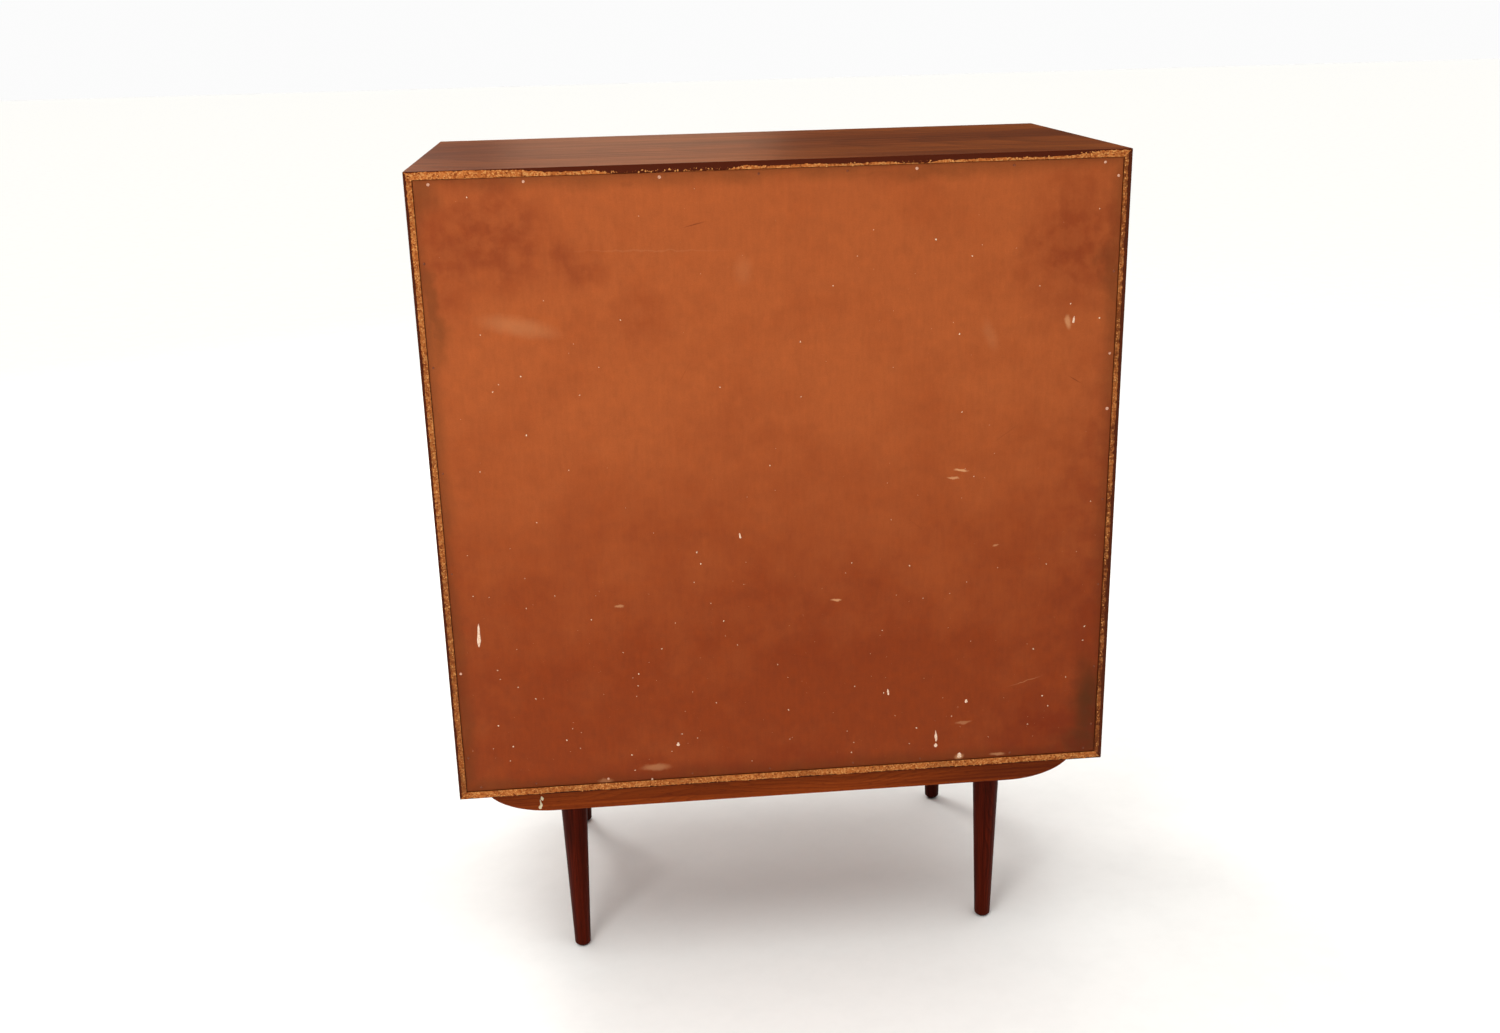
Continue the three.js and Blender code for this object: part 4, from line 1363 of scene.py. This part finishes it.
@dataclass
class PaintDrips(SubAssembly):
    """The few large runs of pale paint on the panel and on the rear rail."""

    panel_runs: tuple[Drip, ...] = (
        Drip(406, 517, 32, 5.5, -3),
        Drip(-212, 326, 17, 4.5, 4),
        Drip(-212, 312, 6, 6.0),
        Drip(-254, 377, 6, 5.0),
        Drip(-246, 294, 8, 8.0),
        Drip(-144, 398, 10, 3.2, 8),
        Drip(148, 339, 6, 5.0),
        Drip(186, 287, 5, 4.5),
        Drip(55, 637, 8, 3.2, 10),
        Drip(-384, 907, 9, 4.0, -8),
    )
    rail_runs: tuple[Drip, ...] = (
        Drip(341, 252, 7, 5.5, 10),
        Drip(343, 244, 12, 3.6, 8),
        Drip(344.5, 238.5, 6, 6),
    )

    def lump(self, shape: Shape, drip: Drip, y: float) -> None:
        """Adds one run: a flat lump, heavier at its lower end.

        Args:
            shape: The mesh that gets the run.
            drip: The run.
            y: The surface that it lies on.
        """
        turn = Matrix.Rotation(math.radians(drip.lean), 3, "Y")
        ball = bmesh.ops.create_icosphere(shape, subdivisions=3, radius=1.0)
        for vertex in ball["verts"]:
            x, depth, z = vertex.co
            waist = 0.72 - 0.28 * z + 0.12 * math.sin(5 * z + drip.x)
            rough = 1 + 0.22 * noise.noise(vertex.co * 1.7 + Vector((drip.x, 0, drip.z)))
            across = x * drip.width / 2 * waist * rough
            local = Vector((across, depth * 0.35 * (1.2 - 0.3 * z), z * drip.length / 2 * rough))
            vertex.co = (turn @ local + Vector((drip.x, 0, drip.z))) * MM + Vector((0, y, 0))

    def build(self) -> None:
        """Builds the runs on the panel and the one on the rail."""
        for name, node, finish, slot, runs in (
            ("panel_paint_drips", "back_panel", DRIED_PAINT, "hardboard", self.panel_runs),
            ("rail_paint_drip", "base_rail_rear", YELLOWED_PAINT, "base_teak", self.rail_runs),
        ):
            shape = bmesh.new()
            for drip in runs:
                self.lump(shape, drip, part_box(node)[1].y)
            piece = new_piece(name, mesh_from(shape, name, 60), material_of(finish))
            self.keep(piece, "cabinet", slot)


@dataclass
class Base(SubAssembly):
    """The boat-shaped rails, the cross rails, the turned legs and their glides."""

    fasteners: Fasteners = field(default_factory=lambda: Fasteners(seed=40))

    def build(self) -> None:
        """Dresses the wood, the glides and the screws."""
        spots = []
        for row in ("front", "rear"):
            self.dress(f"base_rail_{row}", PlanedTeak(), "base_teak", ease=0, fold=13)
            for side, _ in SIDES:
                self.dress(f"leg_{row}_{side}", TurnedTeak(), "solid_teak", ease=0, fold=35)
                self.dress(f"glide_{row}_{side}", MOULDED_NYLON, "nylon", ease=0, fold=35)
        for side, _ in SIDES:
            cross = PlanedTeak("planed_cross_rail", grain=Grain.Y_LYING)
            self.dress(f"base_cross_rail_{side}", cross, "base_teak", ease=0.8 * MM)
            low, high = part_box(f"base_cross_rail_{side}")
            for share in (0.2, 0.5, 0.8):
                y = low.y + (high.y - low.y) * share
                spots.append(Spot(((low.x + high.x) / 2, y, low.z), DOWN))
        head = ScrewHead(radius=4.2 * MM, slot_width=1.1 * MM)
        self.fasten("cross_rail_screws", "cabinet", "steel", head, spots, ZINC_PLATE)


@dataclass
class Doors(SubAssembly):
    """The two doors, their pulls, their hinges and their catches."""

    fasteners: Fasteners = field(default_factory=lambda: Fasteners(seed=60))
    leaf_screw_pitch: float = 20 * MM
    leaf_screw_inset: float = 9.5 * MM  # from the leaf's rear edge
    leaf_offset: float = 0.3 * MM  # from the pin's axis to the face of a leaf
    pull_screw_reach: float = 65 * MM
    strike_screw_reach: float = 11 * MM
    catch_screw_reach: float = 16 * MM

    def build(self) -> None:
        """Dresses the doors and all that hangs on them."""
        veneer = OiledTeakVeneer(
            "teak_veneer_doors", grain=Grain.Z_FACING_FRONT, leaf=0.214, heart=0.107, climb=0.11
        )
        pull = ShapedTeak()
        for side, sign in SIDES:
            self.dress(f"door_{side}", veneer, "teak_veneer", ease=0.5 * MM)
            self.dress(f"door_pull_{side}", pull, "solid_teak", ease=0, fold=28)
            self.dress(f"catch_strike_{side}", ZINC_PLATE, "steel", ease=0.2 * MM)
            self.hang(side, sign)
            self.catch(side)
            self.screw_on(side)

    def hang(self, side: str, sign: int) -> None:
        """Dresses a door's hinges and screws their leaves down.

        Args:
            side: left or right.
            sign: The side's direction along X.
        """
        leaves = (("hinge_case_leaf", "cabinet", -sign), ("hinge_door_leaf", f"{side}_door", sign))
        for part, body, looks in leaves:
            spots = []
            for level in LEVELS:
                node = f"{part}_{side}_{level}"
                self.dress(node, DULLED_BRASS, "brass", ease=0, fold=35)
                low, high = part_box(node)
                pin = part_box(f"hinge_pin_{side}_{level}")
                x = (pin[0].x + pin[1].x) / 2 - looks * self.leaf_offset
                y = high.y - self.leaf_screw_inset
                middle = (low.z + high.z) / 2
                for step in (-1, 0, 1):
                    place = (x, y, middle + step * self.leaf_screw_pitch)
                    spots.append(Spot(place, (float(looks), 0.0, 0.0)))
            self.fasten(f"{part}_screws_{side}", body, "brass", ScrewHead(), spots, DULLED_BRASS)
        for level in LEVELS:
            self.dress(f"hinge_pin_{side}_{level}", DULLED_BRASS, "brass", ease=0, fold=35)

    def catch(self, side: str) -> None:
        """Builds a magnetic catch: a ribbed housing with two ears, and two steel poles in its face.

        Args:
            side: left or right.
        """
        low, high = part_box(f"magnetic_catch_{side}")
        middle = (low.x + high.x) / 2
        ear = 3 * MM  # thickness of the ears
        body = 11.5 * MM  # half width of the housing
        face = low.y + 0.8 * MM  # the poles stand proud of it
        inside = face + 2 * MM  # how deep the poles and the magnet reach
        left, right = either_side(middle, 9 * MM)
        shape = bmesh.new()
        add_block(shape, (low.x, face, high.z - ear), high)
        add_block(shape, (middle - body, face, low.z), (middle + body, high.y, high.z - ear))
        for k in range(-3, 4):
            x = middle + k * 3 * MM
            foot = (x - 0.6 * MM, high.y - 0.01 * MM, low.z + 1.5 * MM)
            add_block(shape, foot, (x + 0.6 * MM, high.y + 0.4 * MM, high.z - ear - 1 * MM))
        chamfer(shape, 0.4 * MM, 30)
        for z in (low.z + 3.2 * MM, low.z + 7.4 * MM):
            add_block(shape, (left, low.y, z), (right, inside, z + 1.4 * MM), 1)
        add_block(shape, (left, low.y + 0.5 * MM, low.z + 4.6 * MM), (right, inside, low.z + 7.4 * MM), 2)
        name = f"catch_body_{side}"
        finishes = [material_of(finish) for finish in (MOULDED_NYLON, ZINC_PLATE, FERRITE)]
        piece = new_piece(name, mesh_from(shape, name), *finishes)
        self.keep(piece, "cabinet", "nylon", f"magnetic_catch_{side}")
        y = (face + high.y) / 2
        spots = [Spot((x, y, high.z - ear), DOWN) for x in either_side(middle, self.catch_screw_reach)]
        head = ScrewHead(proud=0.5 * MM)
        self.fasten(f"catch_screws_{side}", "cabinet", "steel", head, spots, ZINC_PLATE)

    def screw_on(self, side: str) -> None:
        """Screws a door's pull on from behind, and its strike plate.

        Args:
            side: left or right.
        """
        body = f"{side}_door"
        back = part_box(f"door_{side}")[1].y
        low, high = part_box(f"door_pull_{side}")
        middle = (low + high) / 2
        spots = [Spot((middle.x, back, z), REAR) for z in either_side(middle.z, self.pull_screw_reach)]
        self.fasten(f"door_pull_screws_{side}", body, "steel", PULL_SCREW, spots, ZINC_PLATE)
        low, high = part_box(f"catch_strike_{side}")
        middle = (low + high) / 2
        spots = [Spot((x, high.y, middle.z), REAR) for x in either_side(middle.x, self.strike_screw_reach)]
        self.fasten(f"strike_screws_{side}", body, "steel", ScrewHead(), spots, ZINC_PLATE)


@dataclass
class Drawers(SubAssembly):
    """The two dovetailed drawers and their runners."""

    fasteners: Fasteners = field(default_factory=lambda: Fasteners(seed=90))
    pull_screw_reach: float = 48 * MM

    def build(self) -> None:
        """Dresses the drawers and screws on their pulls and runners."""
        front = OiledTeakVeneer("teak_veneer_drawer_front", grain=Grain.X_STANDING, heart=0.38, climb=0.06)
        back = PlanedBeech("planed_beech_back", grain=Grain.X_STANDING, heart=0.2)
        board = PlanedBeech("planed_beech_side", grain=Grain.Y_STANDING, heart=0.3)
        runner = PlanedBeech("planed_beech_runner", grain=Grain.Y_STANDING)
        pull = ShapedTeak("shaped_teak_drawer_pull", grain=Grain.X_STANDING)
        runner_spots = []
        for level in LEVELS:
            self.dress(f"drawer_front_{level}", front, "teak_veneer", ease=0.4 * MM)
            self.dress(f"drawer_back_{level}", back, "beech", ease=0.3 * MM)
            self.dress(f"drawer_bottom_{level}", BirchPlywood(), "birch_ply", ease=0.3 * MM)
            pull_spots = []
            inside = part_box("door_left")[1].y  # fronts and doors are boards of one thickness
            for side, sign in SIDES:
                self.dress(f"drawer_side_{level}_{side}", board, "beech", ease=0.3 * MM)
                self.dress(f"drawer_runner_{level}_{side}", runner, "beech", ease=0.4 * MM)
                self.dress(f"drawer_pull_{level}_{side}", pull, "solid_teak", ease=0, fold=28)
                low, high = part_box(f"drawer_runner_{level}_{side}")
                x = high.x if sign < 0 else low.x
                for share in (0.12, 0.5, 0.88):
                    place = (x, low.y + (high.y - low.y) * share, (low.z + high.z) / 2)
                    runner_spots.append(Spot(place, (-float(sign), 0.0, 0.0)))
                low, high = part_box(f"drawer_pull_{level}_{side}")
                middle = (low + high) / 2
                for x in either_side(middle.x, self.pull_screw_reach):
                    pull_spots.append(Spot((x, inside, middle.z), REAR))
            name = f"drawer_pull_screws_{level}"
            self.fasten(name, f"{level}_drawer", "steel", PULL_SCREW, pull_spots, ZINC_PLATE)
        head = ScrewHead(proud=0.02 * MM)
        self.fasten("runner_screws", "cabinet", "steel", head, runner_spots, ZINC_PLATE)


# ---- Studio ------------------------------------------------------------------------------------


@dataclass
class Studio:
    """A pale floor, soft light and the camera."""

    eye: Place = (0.2074, 2.1569, 1.2929)
    heading: float = 175.03
    tip: float = -18.17
    roll: float = -1.417
    lens: float = 36.83
    floor_reach: float = 30.0  # how far the floor runs each way, in metres

    def build(self) -> None:
        """Sets up floor, light and camera."""
        shape = bmesh.new()
        far = self.floor_reach
        corners = ((-far, -far), (far, -far), (far, far), (-far, far))
        shape.faces.new([shape.verts.new((x, y, 0.0)) for x, y in corners])
        floor = new_piece("studio_floor", mesh_from(shape, "studio_floor"), material_of(PALE_FLOOR))

        self.air()
        self.lamp("key", (1.2, 2.3, 2.0), (0.1, 0.2, 0.75), 1.0, 28)
        self.lamp("front", (1.5, -2.5, 2.7), (0, -0.2, 0.6), 1.2, 45)
        self.lamp("window", (0.08, -3.4, 1.5), (0.1, 0.1, 1.1), 1.0, 5.8, "DISK", "#ffcba8")

        camera = bpy.data.cameras.new("camera")
        camera.lens = self.lens
        camera.sensor_width = 36.0
        stand = bpy.data.objects.new("camera", camera)
        bpy.context.scene.collection.objects.link(stand)
        turn = (
            Matrix.Rotation(math.radians(self.heading), 4, "Z")
            @ Matrix.Rotation(math.radians(90 + self.tip), 4, "X")
            @ Matrix.Rotation(math.radians(self.roll), 4, "Z")
        )
        stand.matrix_world = Matrix.Translation(self.eye) @ turn
        bpy.context.scene.camera = stand
        bpy.context.scene.view_settings.view_transform = "Standard"

    def air(self) -> None:
        """Surrounds the cabinet with white air to look at, which lights it softly and mostly from above."""
        world = bpy.data.worlds.new("studio_air")
        world.use_nodes = True
        world.node_tree.nodes.clear()
        add = functools.partial(add_node, world.node_tree)
        sky = add("SeparateXYZ", (add("TexCoord"),)).outputs
        glow = add("MapRange", (sky[2], 0.5, 0.7, 0.03, 1.8))
        seen = add("LightPath").outputs["Is Camera Ray"]
        strength = add("Mix", {0: seen, 2: glow, 3: 0.97}, data_type="FLOAT")
        colour = add("Mix", {0: seen, 6: linear(WARM_WHITE), 7: linear("#ffffff")}, data_type="RGBA")
        air = add("Background", (colour, strength))
        add("OutputWorld", (air,))
        bpy.context.scene.world = world

    def lamp(
        self,
        name: str,
        place: Place,
        aim: Place,
        size: float,
        power: float,
        shape: str = "SQUARE",
        colour: str = WARM_WHITE,
    ) -> None:
        """Hangs a large lamp.

        Args:
            name: The lamp's name.
            place: Where it hangs.
            aim: What it looks at.
            size: The length of its sides, or its width.
            power: Its power in watts.
            shape: SQUARE or DISK.
            colour: The colour of its light.
        """
        light = bpy.data.lights.new(name, "AREA")
        light.shape = shape
        light.size = size
        light.energy = power
        light.color = linear(colour)[:3]
        lamp = bpy.data.objects.new(name, light)
        lamp.visible_camera = False
        bpy.context.scene.collection.objects.link(lamp)
        look = Vector(aim) - Vector(place)
        lamp.matrix_world = Matrix.Translation(place) @ look.to_track_quat("-Z", "Y").to_matrix().to_4x4()


def main() -> None:
    """Builds every sub-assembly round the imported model."""
    logging.basicConfig(level=logging.INFO, format="%(name)s %(message)s")
    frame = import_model()
    Studio().build()
    for assembly in (Case, BackPanel, PaintDrips, Base, Doors, Drawers):
        part = assembly(frame)
        part.build()
        part.report()


if __name__ == "__main__":
    main()
